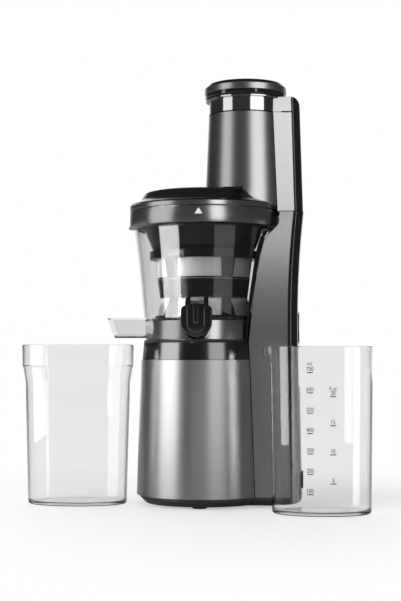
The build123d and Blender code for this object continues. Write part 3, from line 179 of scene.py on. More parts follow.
# %% Brushed lines
def make_brushed_group():
    tree, given, ends = open_group(
        "Brushed lines",
        {"Lines per metre": 2600.0, "Length per metre": 14.0},
        {"Height": FLOAT, "Streaks": FLOAT},
    )
    parts = add(tree, "SeparateXYZ", {0: place_in(tree)}).outputs
    spacing = {"X": "Length per metre", "Y": "Length per metre", "Z": "Lines per metre"}
    squeezed = {axis: maths(tree, "MULTIPLY", parts[axis], given[label]) for axis, label in spacing.items()}
    lines = noise(tree, out(tree, "CombineXYZ", squeezed), 1.0, 4.0)
    tree.links.new(lines, ends["Height"])
    tree.links.new(lines, ends["Streaks"])
    return tree


brushed_group = make_brushed_group()

# %% [markdown]
# A polished surface that hands have touched has faint dull marks. They only change the roughness a
# little, and a second noise breaks the first one up so that no mark has a hard edge.


# %% Handling marks
def make_marks_group():
    tree, given, ends = open_group(
        "Handling marks",
        {"Clean": 0.1, "Marked": 0.2, "Marks per metre": 18.0, "Breaks per metre": 160.0},
        {"Roughness": FLOAT},
    )
    place = place_in(tree)
    broad = noise(tree, place, given["Marks per metre"], 5.0)
    fine = noise(tree, place, given["Breaks per metre"], 3.0)
    mask = maths(tree, "MULTIPLY", broad, fine)
    spread = maths(tree, "SUBTRACT", given["Marked"], given["Clean"])
    rough = maths(tree, "ADD", given["Clean"], maths(tree, "MULTIPLY", mask, spread))
    tree.links.new(rough, ends["Roughness"])
    return tree


marks_group = make_marks_group()

# %% [markdown]
# No moulded or machined edge is perfectly sharp. The Bevel node looks at the surface nearby and turns the
# normal as if the edge were rounded, so that it catches the light without one more face in the mesh.


# %% Soft edges
def make_edge_group():
    tree, given, ends = open_group("Soft edges", {"Radius": 0.0004}, {"Normal": VECTOR})
    bevel = out(tree, "Bevel", {"Radius": given["Radius"]}, samples=4)
    tree.links.new(bevel, ends["Normal"])
    return tree


edge_group = make_edge_group()

# %% [markdown]
# ## Materials
# Each finish starts from the Principled shader. What is the same all over is set on the shader's own
# sockets. What changes over the surface comes in from the groups.


# %% Helpers for materials
def spaced(values):
    """Socket names from Python names: Grain_per_metre becomes Grain per metre."""
    return {label.replace("_", " "): value for label, value in values.items()}


def opaque(colour):
    return (*colour, 1.0)


def start_material(name, **values):
    """A material, its tree and its Principled shader with some sockets set."""
    material = bpy.data.materials.new(name)
    material.use_nodes = True
    tree = material.node_tree
    shader = tree.nodes["Principled BSDF"]
    for label, value in spaced(values).items():
        shader.inputs[label].default_value = value
    return material, tree, shader


def place_group(tree, group, **values):
    """A group placed in a material, and its outputs."""
    return add(tree, "Group", spaced(values), node_tree=group).outputs


def colour_between(tree, shader, factor, dark, light):
    """Feeds the base colour from two colours, mixed by a mask that varies over the surface."""
    feeds = {"Factor": factor, "A": opaque(dark), "B": opaque(light)}
    mix = add(tree, "Mix", feeds, data_type="RGBA")
    tree.links.new(mix.outputs["Result"], shader.inputs["Base Color"])


def tones(colour, contrast):
    """A darker and a lighter tone of one colour."""
    return [tuple(min(1.0, channel * factor) for channel in colour) for factor in (1 - contrast, 1 + contrast)]


finishes = {}


def finish(
    name, group, texture, clean, marked, depth, colours=None, mask="Patches", edge=None, distance=0.0002, **looks
):
    """Makes a finish: the shader's looks, a group for its texture, handling marks, and soft edges if given."""
    material, tree, shader = start_material(name, **looks)
    skin = place_group(tree, group, **texture)
    marks = place_group(tree, marks_group, Clean=clean, Marked=marked)
    tree.links.new(marks["Roughness"], shader.inputs["Roughness"])
    if colours is not None:
        colour_between(tree, shader, skin[mask], *colours)
    feeds = {"Strength": depth, "Distance": distance, "Height": skin["Height"]}
    if edge is not None:
        feeds["Normal"] = place_group(tree, edge_group, Radius=edge)["Normal"]
    tree.links.new(out(tree, "Bump", feeds), shader.inputs["Normal"])
    finishes[name] = material
    return tree, shader


# %% [markdown]
# Most hidden and working pieces are moulded: satin plastic, gear nylon, rubber. They differ in colour, in
# how dull the skin is and in how coarse the grain is. Print is the same without soft edges, because its
# layer is thinner than any rounding.


# %% Moulded finishes
def moulded(name, colour, clean, marked, grain=1500.0, depth=0.12, edge=0.0004, contrast=0.12, **looks):
    texture = {"Grain_per_metre": grain}
    finish(name, grain_group, texture, clean, marked, depth, tones(colour, contrast), edge=edge, **looks)


PRINT = {"grain": 3000.0, "depth": 0.05, "edge": None, "contrast": 0.1, "Specular_IOR_Level": 0.15}
moulded("black_plastic", (0.022, 0.022, 0.024), 0.38, 0.55)
moulded("joint_black", (0.004, 0.004, 0.004), 0.6, 0.8, depth=0.02, Specular_IOR_Level=0.1)
moulded("strainer_black", (0.007, 0.007, 0.008), 0.1, 0.2, depth=0.02, Specular_IOR_Level=0.35)
moulded("auger_plastic", (0.03, 0.03, 0.033), 0.24, 0.4, depth=0.08)
moulded("gear_nylon", (0.72, 0.69, 0.6), 0.35, 0.5, Subsurface_Weight=0.1)
moulded("rubber", (0.018, 0.018, 0.018), 0.7, 0.9, grain=2400.0, depth=0.3)
moulded("silicone", (0.12, 0.12, 0.125), 0.45, 0.6, depth=0.1)
moulded("carbon", (0.02, 0.02, 0.02), 0.5, 0.7, grain=3000.0, depth=0.4)
moulded("circuit_board", (0.02, 0.12, 0.05), 0.25, 0.45)
moulded("ferrite", (0.06, 0.055, 0.055), 0.55, 0.75, grain=2400.0, depth=0.35)
moulded("black_print", (0.012, 0.012, 0.013), 0.45, 0.6, **PRINT)
moulded("white_print", (0.8, 0.8, 0.8), 0.45, 0.6, **PRINT)
print("moulded finishes", len(finishes))

# %% [markdown]
# The lid, the stopper and the rear shell are gloss black: a dark body under a clear skin that mirrors the
# studio lights as hard bright shapes. The flat sides of the spine are painted a pale metallic grey. Paint
# with flake in it is half way between metal and plastic: a metallic base, rather rough, with a fine grain.

# %% Gloss black and panel paint
gloss = {"Specular_IOR_Level": 0.6, "Coat_Weight": 0.4, "Coat_Roughness": 0.03, "Coat_IOR": 1.55}
gloss["Base_Color"] = opaque((0.008, 0.008, 0.009))
finish("gloss_black", grain_group, {"Grain_per_metre": 220.0}, 0.05, 0.2, 0.015, edge=0.0009, **gloss)
flake = {"Grain_per_metre": 4200.0, "Patches_per_metre": 9.0}
greys = [(0.28, 0.28, 0.288), (0.345, 0.345, 0.353)]
finish("panel_grey", grain_group, flake, 0.36, 0.46, 0.06, greys, edge=0.0005, distance=0.0001, Metallic=0.85)
print("finishes with gloss and paint", len(finishes))

# %% [markdown]
# The motor's sleeve, the chute's sleeve and the pusher's band are a graphite metal skin, brushed round the
# drum. The collar above the sleeve is the same metal, darker and polished, which is why it mirrors the
# lights in hard bands where the sleeve only glows.


# %% Metals
def metal(name, colour, clean, marked, lines=2600.0, depth=0.1, edge=0.0003, contrast=0.14):
    look = {"mask": "Streaks", "edge": edge, "distance": 0.00005, "Metallic": 1.0}
    texture = {"Lines_per_metre": lines}
    finish(name, brushed_group, texture, clean, marked, depth, tones(colour, contrast), **look)


metal("graphite_metal", (0.28, 0.28, 0.282), 0.29, 0.34, depth=0.012, contrast=0.035)
metal("chute_metal", (0.3, 0.3, 0.302), 0.3, 0.35, depth=0.012, contrast=0.035)
metal("dark_collar", (0.15, 0.15, 0.151), 0.14, 0.22, depth=0.004, contrast=0.03)
metal("polished_ring", (0.42, 0.42, 0.422), 0.08, 0.15, depth=0.004, contrast=0.03)
metal("smoky_rim", (0.44, 0.44, 0.445), 0.2, 0.28, depth=0.006, contrast=0.05)
metal("steel", (0.56, 0.56, 0.57), 0.25, 0.4)
metal("mesh_steel", (0.88, 0.88, 0.885), 0.45, 0.55, depth=0.02, edge=0.0001, contrast=0.03)
metal("aluminium", (0.7, 0.7, 0.71), 0.35, 0.5)
metal("bronze", (0.52, 0.35, 0.18), 0.35, 0.5)
metal("winding_copper", (0.66, 0.32, 0.17), 0.25, 0.4, lines=900.0, depth=0.6)
print("finishes with the metals", len(finishes))

# %% [markdown]
# The bowl and the cups are clear, stiff plastic. The shader bends the light, and a shadow ray passes
# straight through instead, because a real clear cup leaves only a faint shadow. The cups bend it less than
# the bowl, which keeps their thin walls open to the white behind them.

# %% Clear plastics
SHADOW = 0.9  # how much light a clear wall lets through in a shadow


def clear(name, tint, marked, ior):
    looks = {"Base_Color": opaque(tint), "Transmission_Weight": 1.0, "IOR": ior}
    tree, shader = finish(name, grain_group, {"Grain_per_metre": 60.0}, 0.0, marked, 0.02, **looks)
    passing = out(tree, "BsdfTransparent", {"Color": opaque((SHADOW, SHADOW, SHADOW))})
    ray = add(tree, "LightPath").outputs
    mix = out(tree, "MixShader", {0: ray["Is Shadow Ray"], 1: shader.outputs[0], 2: passing})
    tree.links.new(mix, tree.nodes["Material Output"].inputs["Surface"])


clear("clear_plastic", (0.86, 0.862, 0.866), marked=0.03, ior=1.5)
clear("clear_cup", (0.92, 0.922, 0.926), marked=0.02, ior=1.33)
print("finishes in all", len(finishes))

# %% [markdown]
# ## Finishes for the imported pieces
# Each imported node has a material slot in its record. The finish of that name takes the place of the flat
# colour it came with. A few pieces share a slot but not a finish, so those are named here.

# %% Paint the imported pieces
slot_of = {row["node"]: row["material_slot"] for row in frame["record"]["subparts"]}
slot_of.update(
    base_collar="dark_collar",
    bowl_band="smoky_rim",
    chute_sleeve="chute_metal",
    chute_top_ring="polished_ring",
    lid_rim="smoky_rim",
    pusher_band="chute_metal",
)
for name, packed in nodes.items():
    packed.data.materials.clear()
    packed.data.materials.append(finishes[slot_of[name]])
print("painted", len(slot_of), "nodes")

# %% [markdown]
# ## Finer pieces
# Where the light shows every edge, a piece gets a finer mesh than its packed one, made in millimetres
# round the drive axis. An outline with rounded corners is drawn once and then turned, swept round an oval
# or given a thickness. Closing it merges the seams, points the faces outwards and keeps true edges sharp.


# %% Outlines and closed skins
def softened(corners, steps=6):
    """A closed outline of (across, up) or (across, up, radius) corners, with those corners rounded."""
    points = []
    for k, corner in enumerate(corners):
        here = Vector(corner[:2])
        radius = corner[2] if len(corner) > 2 else 0.0
        if not radius:
            points.append(here)
            continue
        before = (Vector(corners[k - 1][:2]) - here).normalized()
        after = (Vector(corners[(k + 1) % len(corners)][:2]) - here).normalized()
        half = before.angle(after) / 2
        middle = here + (before + after).normalized() * (radius / math.sin(half))
        first = here + before * (radius / math.tan(half)) - middle
        last = here + after * (radius / math.tan(half)) - middle
        sweep = math.atan2(first.x * last.y - first.y * last.x, first.dot(last))
        for step in range(steps + 1):
            points.append(middle + Matrix.Rotation(sweep * step / steps, 2) @ first)
    return np.array([tuple(point) for point in points])


def slab(inner, outer, low, high, round_in, round_out, steps):
    """The outline of an upright plate, its inner and outer corners rounded."""
    corners = [(inner, low, round_in), (outer, low, round_out), (outer, high, round_out), (inner, high, round_in)]
    return softened(corners, steps)


def ring(across, deep, up):
    """A ring of points from three rows or plain numbers."""
    return np.stack(np.broadcast_arrays(across, deep, up), 1)


def full_turn(segments):
    return np.linspace(0, 2 * math.pi, segments, endpoint=False)


def smoothed(mesh, tidy, sharp):
    """Writes a tidied mesh back, smooth but for its true edges."""
    tidy.to_mesh(mesh)
    tidy.free()
    mesh.shade_smooth()
    mesh.set_sharp_from_angle(angle=math.radians(sharp))
    return mesh


def closed_mesh(points, faces, sharp=32.0):
    """A merged, outward mesh from points in millimetres round the drive axis."""
    mesh = bpy.data.meshes.new("closed")
    place = np.asarray(points) * MM + np.array([drive.x, drive.y, 0.0])
    mesh.from_pydata(place.tolist(), [], faces)
    tidy = bmesh.new()
    tidy.from_mesh(mesh)
    bmesh.ops.remove_doubles(tidy, verts=tidy.verts, dist=1e-6)
    bmesh.ops.dissolve_degenerate(tidy, edges=tidy.edges, dist=1e-6)
    bmesh.ops.recalc_face_normals(tidy, faces=tidy.faces)
    return smoothed(mesh, tidy, sharp)


def ring_skin(rings, loop=True, sharp=32.0):
    """A skin through rings of points, the last joined to the first if it loops."""
    rings = np.asarray(rings, dtype=float)
    count, around = rings.shape[:2]
    faces = []
    for level in range(count if loop else count - 1):
        here, there = level * around, (level + 1) % count * around
        for k in range(around):
            after = (k + 1) % around
            faces.append((here + k, here + after, there + after, there + k))
    return closed_mesh(rings.reshape(-1, 3), faces, sharp)


def turned_skin(outline, middle=(0.0, 0.0), segments=128):
    """A skin from an outline taken round an upright axis."""
    turn = full_turn(segments)
    rings = [ring(middle[0] + r * np.cos(turn), middle[1] + r * np.sin(turn), up) for r, up in outline]
    return ring_skin(rings)


def stacked_skin(outline, middle, levels, axis=1, sharp=32.0):
    """A skin through copies of a flat outline. Each level is a share of its size, and a place on an axis."""
    flats = [(middle + (outline - middle) * share, place) for share, place in levels]
    return ring_skin([np.insert(flat, axis, place, axis=1) for flat, place in flats], False, sharp)


def placed(name, data):
    """A new object in the scene."""
    thing = bpy.data.objects.new(name, data)
    bpy.context.scene.collection.objects.link(thing)
    return thing


def piece(name, mesh, body, slot, replaced=(), finish=None):
    """A finished piece: its finish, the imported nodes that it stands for, and the body that it rides on."""
    mesh.name = name
    thing = placed(name, mesh)
    mesh.materials.clear()
    mesh.materials.append(finishes[finish or slot])
    if replaced:
        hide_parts(*replaced)
    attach(thing, body)
    print("piece", name, len(mesh.polygons), "faces on", body)


# %% [markdown]
# The two cups are ovals with one even wall. The outline goes up the outside, over a rounded rim and down
# the inside to the middle of the floor. The depth of the oval is always less than its width by the same
# lean, so the wall keeps its thickness all the way round.

# %% The pulp cup
CUP_AT = (-134.0, -12.0)
CUP_LEAN = 16.5
CUP_TOP = 168.5
FLOOR_THICK = 3.0


def oval_skin(middle, outline, lean, segments=160, pull=None):
    turn = full_turn(segments)
    rings = []
    for half_width, height in outline:
        across = half_width * np.cos(turn)
        if pull is not None:
            across = across - pull(turn, height)
        half_depth = max(half_width - lean, 0.0)
        rings.append(ring(middle[0] + across, middle[1] + half_depth * np.sin(turn), height))
    return ring_skin(rings, loop=False)


pulp_outside = [(CUP_LEAN, 0.0), (52.5, 0.0, 2.6), (56.0, 129.0, 14.0), (58.6, 144.4, 1.4), (59.5, 145.9, 0.8)]
pulp_rim = [(60.0, CUP_TOP, 0.95), (58.0, CUP_TOP, 0.95)]
pulp_inside = [(57.5, 146.9, 0.8), (56.6, 145.4, 1.4), (54.0, 129.0, 14.0), (50.6, FLOOR_THICK, 3.4)]
pulp_outline = softened(pulp_outside + pulp_rim + pulp_inside + [(CUP_LEAN, FLOOR_THICK)])
pulp_mesh = oval_skin(CUP_AT, pulp_outline, CUP_LEAN)
piece("pulp_cup_clear", pulp_mesh, "pulp_cup", "clear_plastic", ["pulp_cup"], "clear_cup")

# %% [markdown]
# The juice jug has a pouring lip on its left end. A pull along X, strongest at the rim and on the end of
# the oval, draws the wall out into a spout without making it thinner. The wall needs close levels there.

# %% The juice jug
JUG_AT = (124.9, -84.0)
JUG_LEAN = 13.51
JUG_HEIGHT = 166.0
JUG_FOOT, JUG_BODY, JUG_RIM = 49.2, 51.3, 51.49  # half widths of the outside, going up
JUG_HOLLOW, JUG_BORE = 49.3, 49.5  # half widths of the inside, below the lip and at the rim
LIP_REACH = 6.8
LIP_DEPTH = 17.0
LIP_HALF_TURN = 0.36
LIP_BULGE = 0.62  # the share of its depth over which the spout swells
LIP_STEPS = 14


def lip_pull(turn, height):
    """How far the wall is drawn out to the left, in millimetres, round the rim and down from it."""
    away = np.minimum(np.abs(turn - math.pi) / LIP_HALF_TURN, 1.0)
    rise = min(max((height - (JUG_HEIGHT - LIP_DEPTH)) / LIP_DEPTH, 0.0) / LIP_BULGE, 1.0)
    return LIP_REACH * np.cos(away * math.pi / 2) ** 2 * rise * rise * (3 - 2 * rise)


jug_foot = softened([(JUG_LEAN, 0.0), (JUG_FOOT, 0.0, 2.6), (JUG_BODY, 148.0), (JUG_BODY, 160.0), (0.0, 160.0)])
lip_levels = np.linspace(JUG_HEIGHT - LIP_DEPTH, JUG_HEIGHT - 1.2, LIP_STEPS)
jug_rim = softened(
    [(JUG_RIM, 160.0), (JUG_RIM, JUG_HEIGHT, 0.95), (JUG_BORE, JUG_HEIGHT, 0.95), (JUG_BORE, 160.0)]
)
jug_inside = softened([(JUG_HOLLOW, 148.0), (47.3, FLOOR_THICK, 4.0), (JUG_LEAN, FLOOR_THICK), (JUG_LEAN, 148.0)])
jug_outline = np.concatenate(
    [
        jug_foot[:-3],
        np.stack([np.linspace(JUG_BODY, JUG_RIM, LIP_STEPS), lip_levels], 1),
        jug_rim[1:-1],
        np.stack([np.linspace(JUG_BORE, JUG_HOLLOW, LIP_STEPS), lip_levels[::-1]], 1),
        jug_inside[1:-1],
    ]
)
jug_mesh = oval_skin(JUG_AT, jug_outline, JUG_LEAN, segments=192, pull=lip_pull)
piece("juice_jug_clear", jug_mesh, "juice_jug", "clear_plastic", ["juice_jug"], "clear_cup")

# %% [markdown]
# ## Geometry Nodes
# What repeats is made by Geometry Nodes. Each tree has named inputs, is run on an empty carrier, and its
# result is kept as a plain mesh. A plain mesh can't hold instances, so each tree ends by making them real.


# %% Helpers for Geometry Nodes
def shape(tree, kind, feeds=None, **settings):
    """The first output of a new geometry node."""
    return out(tree, kind, feeds, family="GeometryNode", **settings)


def open_tree(name, inputs):
    """A new geometry tree with named inputs and one mesh output, and its input sockets."""
    tree = bpy.data.node_groups.new(name, "GeometryNodeTree")
    for label, value in inputs.items():
        kind = INTEGER if isinstance(value, int) else FLOAT
        tree.interface.new_socket(name=label, in_out="INPUT", socket_type=kind).default_value = value
    tree.interface.new_socket(name="Finish", in_out="INPUT", socket_type="NodeSocketMaterial")
    tree.interface.new_socket(name="Mesh", in_out="OUTPUT", socket_type="NodeSocketGeometry")
    return tree, tree.nodes.new("NodeGroupInput").outputs


def close_tree(tree, geometry, finish):
    """Ends a tree: instances made real, then the finish."""
    real = shape(tree, "RealizeInstances", {"Geometry": geometry})
    painted = shape(tree, "SetMaterial", {"Geometry": real, "Material": finish})
    tree.links.new(painted, tree.nodes.new("NodeGroupOutput").inputs[0])
    return tree


def plain_mesh(carrier):
    """The carrier's evaluated shape as a plain mesh. The carrier goes."""
    mesh = bpy.data.meshes.new_from_object(carrier.evaluated_get(bpy.context.evaluated_depsgraph_get()))
    bpy.data.objects.remove(carrier)
    return mesh


def run_tree(tree, finish, **values):
    """Runs a tree and returns a plain mesh on the drive axis. Inputs that aren't given keep their own value."""
    values = spaced(values)
    carrier = placed(tree.name, bpy.data.meshes.new(tree.name))
    modifier = carrier.modifiers.new(tree.name, "NODES")
    modifier.node_group = tree
    for item in tree.interface.items_tree:
        if item.in_out == "INPUT":
            value = finish if item.name == "Finish" else values.get(item.name, item.default_value)
            modifier[item.identifier] = value
    mesh = plain_mesh(carrier)
    mesh.transform(Matrix.Translation((drive.x, drive.y, 0.0)))
    return mesh


def vector(tree, **parts):
    return out(tree, "CombineXYZ", parts)


def line_between(tree, start, end):
    return shape(tree, "CurvePrimitiveLine", {"Start": start, "End": end})


def repeated(tree, count, thing, position=None, **feeds):
    """Copies of a thing, one on each of a count of points."""
    points = {"Count": count} if position is None else {"Count": count, "Position": position}
    places = shape(tree, "Points", points)
    return shape(tree, "InstanceOnPoints", {"Points": places, "Instance": thing, **feeds})


def turned_by_number(tree, number, count):
    """The turn of each copy when a count of them stands evenly round the axis."""
    return vector(tree, Z=maths(tree, "MULTIPLY", number, maths(tree, "DIVIDE", 2 * math.pi, count)))


# %% [markdown]
# A fine steel mesh of upright wires and hoops lies in the strainer's windows, just in front of the packed
# band that backs it. The tree makes one wire and one hoop and repeats both. A hoop's radius follows its
# height, so the band may be a cone.


# %% The strainer's mesh
def make_mesh_tree():
    tree, given = open_tree(
        "Woven band",
        {
            "Low radius": 45 * MM,
            "High radius": 45 * MM,
            "Low height": 0.0,
            "High height": 20 * MM,
            "Upright wires": 240,
            "Hoops": 17,
            "Wire radius": 0.22 * MM,
        },
    )
    low = vector(tree, X=given["Low radius"], Z=given["Low height"])
    high = vector(tree, X=given["High radius"], Z=given["High height"])
    section = shape(tree, "CurvePrimitiveCircle", {"Resolution": 4, "Radius": given["Wire radius"]})
    feeds = {"Curve": line_between(tree, low, high), "Profile Curve": section, "Fill Caps": True}
    wire = shape(tree, "CurveToMesh", feeds)
    number = shape(tree, "InputIndex")
    turn = turned_by_number(tree, number, given["Upright wires"])
    uprights = repeated(tree, given["Upright wires"], wire, Rotation=turn)
    share = maths(tree, "DIVIDE", number, maths(tree, "SUBTRACT", given["Hoops"], 1.0))
    height = fitted(tree, share, 0.0, 1.0, given["Low height"], given["High height"])
    radius = fitted(tree, share, 0.0, 1.0, given["Low radius"], given["High radius"])
    circle = shape(tree, "CurvePrimitiveCircle", {"Resolution": 96, "Radius": 1.0})
    size = vector(tree, X=radius, Y=radius, Z=1.0)
    hoops = repeated(tree, given["Hoops"], circle, vector(tree, Z=height), Scale=size)
    real = shape(tree, "RealizeInstances", {"Geometry": hoops})
    bands = shape(tree, "CurveToMesh", {"Curve": real, "Profile Curve": section})
    both = tree.nodes.new("GeometryNodeJoinGeometry")
    tree.links.new(uprights, both.inputs[0])
    tree.links.new(bands, both.inputs[0])
    return close_tree(tree, both.outputs[0], given["Finish"])


mesh_tree = make_mesh_tree()
WINDOW_BANDS = {
    # window row: low radius, high radius, low height, high height
    "high": (49.2, 49.9, 237.5, 258.8),
    "low": (49.5, 45.1, 198.6, 217.6),
}
for row, sizes in WINDOW_BANDS.items():
    band = dict(zip(("Low_radius", "High_radius", "Low_height", "High_height"), (size * MM for size in sizes)))
    piece("strainer_mesh_" + row, run_tree(mesh_tree, finishes["mesh_steel"], **band), "bowl", "mesh_steel")

# %% [markdown]
# The auger is the main piece that follows a rule: a blade that climbs while it turns. The tree sweeps a
# rounded bar up a straight line whose tilt grows with the height, and repeats it for each flight. Near
# the top the blade's size shrinks, which makes the cone that leads the fruit in.


# %% The auger's flights
AUGER_LOW, AUGER_HIGH, AUGER_TOP = 180.0, 290.0, 298.0
CORE, NECK, BORE, SOCKET = 21.0, 5.0, 9.3, 12.9  # radii


def make_auger_tree():
    tree, given = open_tree(
        "Winding flights",
        {
            "Low height": AUGER_LOW * MM,
            "High height": AUGER_HIGH * MM,
            "Flight radius": 42.6 * MM,
            "Core radius": 18.6 * MM,
            "Thickness": 9.0 * MM,
            "Edge radius": 1.6 * MM,
            "Turn": math.radians(400.0),
            "Flights": 2,
            "Cone begins": 0.66,
            "Cone ends": 0.58,
        },
    )
    line = line_between(tree, vector(tree, Z=given["Low height"]), vector(tree, Z=given["High height"]))
    steps = shape(tree, "ResampleCurve", {"Curve": line, "Count": 160})
    share = shape(tree, "SplineParameter")
    tilt = maths(tree, "MULTIPLY", share, given["Turn"])
    tilted = shape(tree, "SetCurveTilt", {"Curve": steps, "Tilt": tilt})
    size = fitted(tree, share, given["Cone begins"], 1.0, 1.0, given["Cone ends"])
    length = maths(tree, "SUBTRACT", given["Flight radius"], given["Core radius"])
    bar = shape(tree, "CurvePrimitiveQuadrilateral", {"Width": length, "Height": given["Thickness"]})
    half = maths(tree, "MULTIPLY", maths(tree, "ADD", given["Flight radius"], given["Core radius"]), 0.5)
    moved = shape(tree, "Transform", {"Geometry": bar, "Translation": vector(tree, X=half)})
    feeds = {"Curve": moved, "Radius": given["Edge radius"], "Count": 3}
    soft = shape(tree, "FilletCurve", feeds, mode="POLY")
    feeds = {"Curve": tilted, "Profile Curve": soft, "Scale": size, "Fill Caps": True}
    blade = shape(tree, "CurveToMesh", feeds)
    turn = turned_by_number(tree, shape(tree, "InputIndex"), given["Flights"])
    return close_tree(tree, repeated(tree, given["Flights"], blade, Rotation=turn), given["Finish"])


flights = run_tree(make_auger_tree(), finishes["auger_plastic"])
core_side = [(SOCKET, AUGER_LOW), (CORE, AUGER_LOW, 1.0), (CORE, AUGER_HIGH, 1.0)]
core_top = [(8.0, AUGER_TOP, 1.0), (NECK, AUGER_TOP), (NECK, 310.0, 1.0), (0.0, 310.0)]
core_bore = [(0.0, 206.0), (BORE, 206.0), (BORE, 195.5), (SOCKET, 195.5)]
core_outline = softened(core_side + core_top + core_bore)
piece("auger_flights", flights, "auger", "auger_plastic", ["auger"])
piece("auger_core", turned_skin(core_outline, segments=96), "auger", "auger_plastic", ["auger"])

# %% [markdown]
# A dark ring fills the narrow gap above the polished collar. It is painted shade: a dark piece that stands for the
# shade in that gap. It is a turned ring with eased corners, a hair smaller than the gap so that the bowl lifts off
# freely.

# %% The painted shade in the bowl's gap
# a dark ring of painted shade, standing for the shade in the gap under the bowl
gap_shade_outline = softened([(58.6, 171.1, 0.3), (64.2, 171.1, 0.4), (63.4, 173.1, 0.5), (58.6, 173.1, 0.3)])
piece("bowl_seat", turned_skin(gap_shade_outline, segments=160), "base", "black_plastic")

# %% [markdown]
# A satin band of smoky plastic is shrunk over the bowl's collar. It is one more turned ring, and so thin
# that only its eased edges tell it from the collar below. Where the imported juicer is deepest, the band is
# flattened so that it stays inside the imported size.

# %% The collar's band
band_outline = slab(80.5, 80.85, 292.9, 309.6, 0.05, 0.1, steps=2)
band_mesh = turned_skin(band_outline, segments=192)
for corner in band_mesh.vertices:
    corner.co.y = min(corner.co.y, cad_box[1][1])
piece("bowl_collar_band", band_mesh, "bowl", "smoke_clear", finish="smoky_rim")

# %% [markdown]
# The spine is hollowed at its front to hold the bowl. Its black lining wraps on round the bowl past the
# side panels, as a lip on each side. A lip is a skin through short arcs, one for each height: each arc
# starts at the panel's edge and is as long as the lip is wide there.

# %% The spine's front lips
SIDES = {"front": -1, "back": 1}
LIP_SHAPE = [
    # height, the hollow's radius, half the spine's width, the lip's width
    (172.6, 63.9, 43.3, 1.0),
    (180.0, 64.4, 43.2, 1.6),
    (195.0, 65.4, 43.0, 1.9),
    (215.0, 67.0, 42.4, 2.2),
    (235.0, 69.0, 41.3, 2.9),
    (250.0, 70.5, 40.2, 3.7),
    (262.0, 71.6, 39.2, 4.2),
    (272.0, 73.0, 38.2, 4.2),
    (280.0, 74.6, 37.3, 3.8),
    (286.0, 77.6, 36.6, 3.0),
]
LIP_UNDER = 1.5  # how far the lip runs on behind the panel
LIP_SUNK, LIP_PROUD = 0.1, 1.2


def make_lip(side):
    rings = []
    for height, hollow, half, width in LIP_SHAPE:
        edge = math.asin(half / hollow)
        turn = np.linspace(edge - LIP_UNDER / hollow, edge + width / hollow, 8)
        inner, outer = hollow - LIP_SUNK, hollow + LIP_PROUD
        across = np.concatenate([inner * np.cos(turn), outer * np.cos(turn[::-1])])
        deep = np.concatenate([inner * np.sin(turn), outer * np.sin(turn[::-1])]) * side
        rings.append(ring(across, deep, height))
    ends = [np.tile(end.mean(axis=0), (len(end), 1)) for end in (rings[0], rings[-1])]
    return ring_skin([ends[0], *rings, ends[1]], loop=False, sharp=50)


for label, side in SIDES.items():
    piece("spine_lip_" + label, make_lip(side), "base", "black_plastic", finish="strainer_black")

# %% [markdown]
# The juice stopper is a domed shield over the nozzle, hung on two posts. The dome comes from one outline:
# rings of it shrink towards the middle while they rise on a quarter circle. Each post is a rounded eye
# round the pin, with an arm that reaches the shield.


# %% The stopper
def make_dome(outline, middle, back, edge, dome):
    """A closed dome on an outline: a flat back, an upright edge, then rings that shrink on a quarter circle."""
    front = back - edge
    levels = [(0.0, back), (0.96, back), (1.0, back - 0.4), (1.0, front)]
    levels += [(math.cos(turn) ** 0.7, front - dome * math.sin(turn)) for turn in np.linspace(0, 1.5, 12)[1:]]
    return stacked_skin(outline, np.array(middle), levels + [(0.0, front - dome)], sharp=36)


def capsule(half, low, high, round_low, round_high):
    """An upright outline with its own rounding below and above."""
    corners = [(-half, high, round_high), (-half, low, round_low), (half, low, round_low), (half, high, round_high)]
    return softened(corners, steps=12)


STOPPER_DOMES = {
    # outline, the dome's middle, its back, its upright edge, how far it bulges
    "stopper_flange": (capsule(15.9, 175.5, 207.2, 15.7, 4.6), (0.0, 191.0), -85.4, 2.6, 1.6),
    "stopper_tongue": (capsule(10.4, 178.2, 208.6, 10.3, 2.5), (0.0, 190.0), -88.0, 1.0, 2.9),
    "stopper_ridge": (capsule(3.3, 188.0, 209.2, 3.2, 1.5), (0.0, 199.0), -90.6, 1.5, 1.9),
}
PIN_AT = (-76.0, 210.0)
EYE_RADIUS = 6.9
ARM = [(-87.4, 212.0), (-88.4, 210.5), (-88.4, 201.5), (-79.0, 203.0)]
POSTS = {"stopper_post_left": (-11.5, -6.7), "stopper_post_right": (6.7, 11.5)}
EASED = 0.7


def make_post(near, far):
    """An eye round the pin and an arm down to the shield, as one outline with eased sides."""
    turn = np.linspace(math.radians(-20), math.radians(200), 22)
    eye = np.stack([PIN_AT[0] + EYE_RADIUS * np.cos(turn), PIN_AT[1] + EYE_RADIUS * np.sin(turn)], 1)
    outline = np.concatenate([eye, np.array(ARM)])
    levels = [(0.0, near), (0.9, near), (1.0, near + EASED), (1.0, far - EASED), (0.9, far), (0.0, far)]
    return stacked_skin(outline, outline.mean(axis=0), levels, axis=0, sharp=40)


stopper_meshes = {name: make_dome(*sizes) for name, sizes in STOPPER_DOMES.items()}
stopper_meshes.update({name: make_post(*sides) for name, sides in POSTS.items()})
for name, mesh in stopper_meshes.items():
    piece(name, mesh, "stopper", "gloss_black", ["stopper_lever"])

# %% [markdown]
# A dark joint line runs round the chute just under its top ring, and on over the two side panels. Round
# the sleeve it is a thin turned ring. On the panels it is a slim strip with rounded ends.

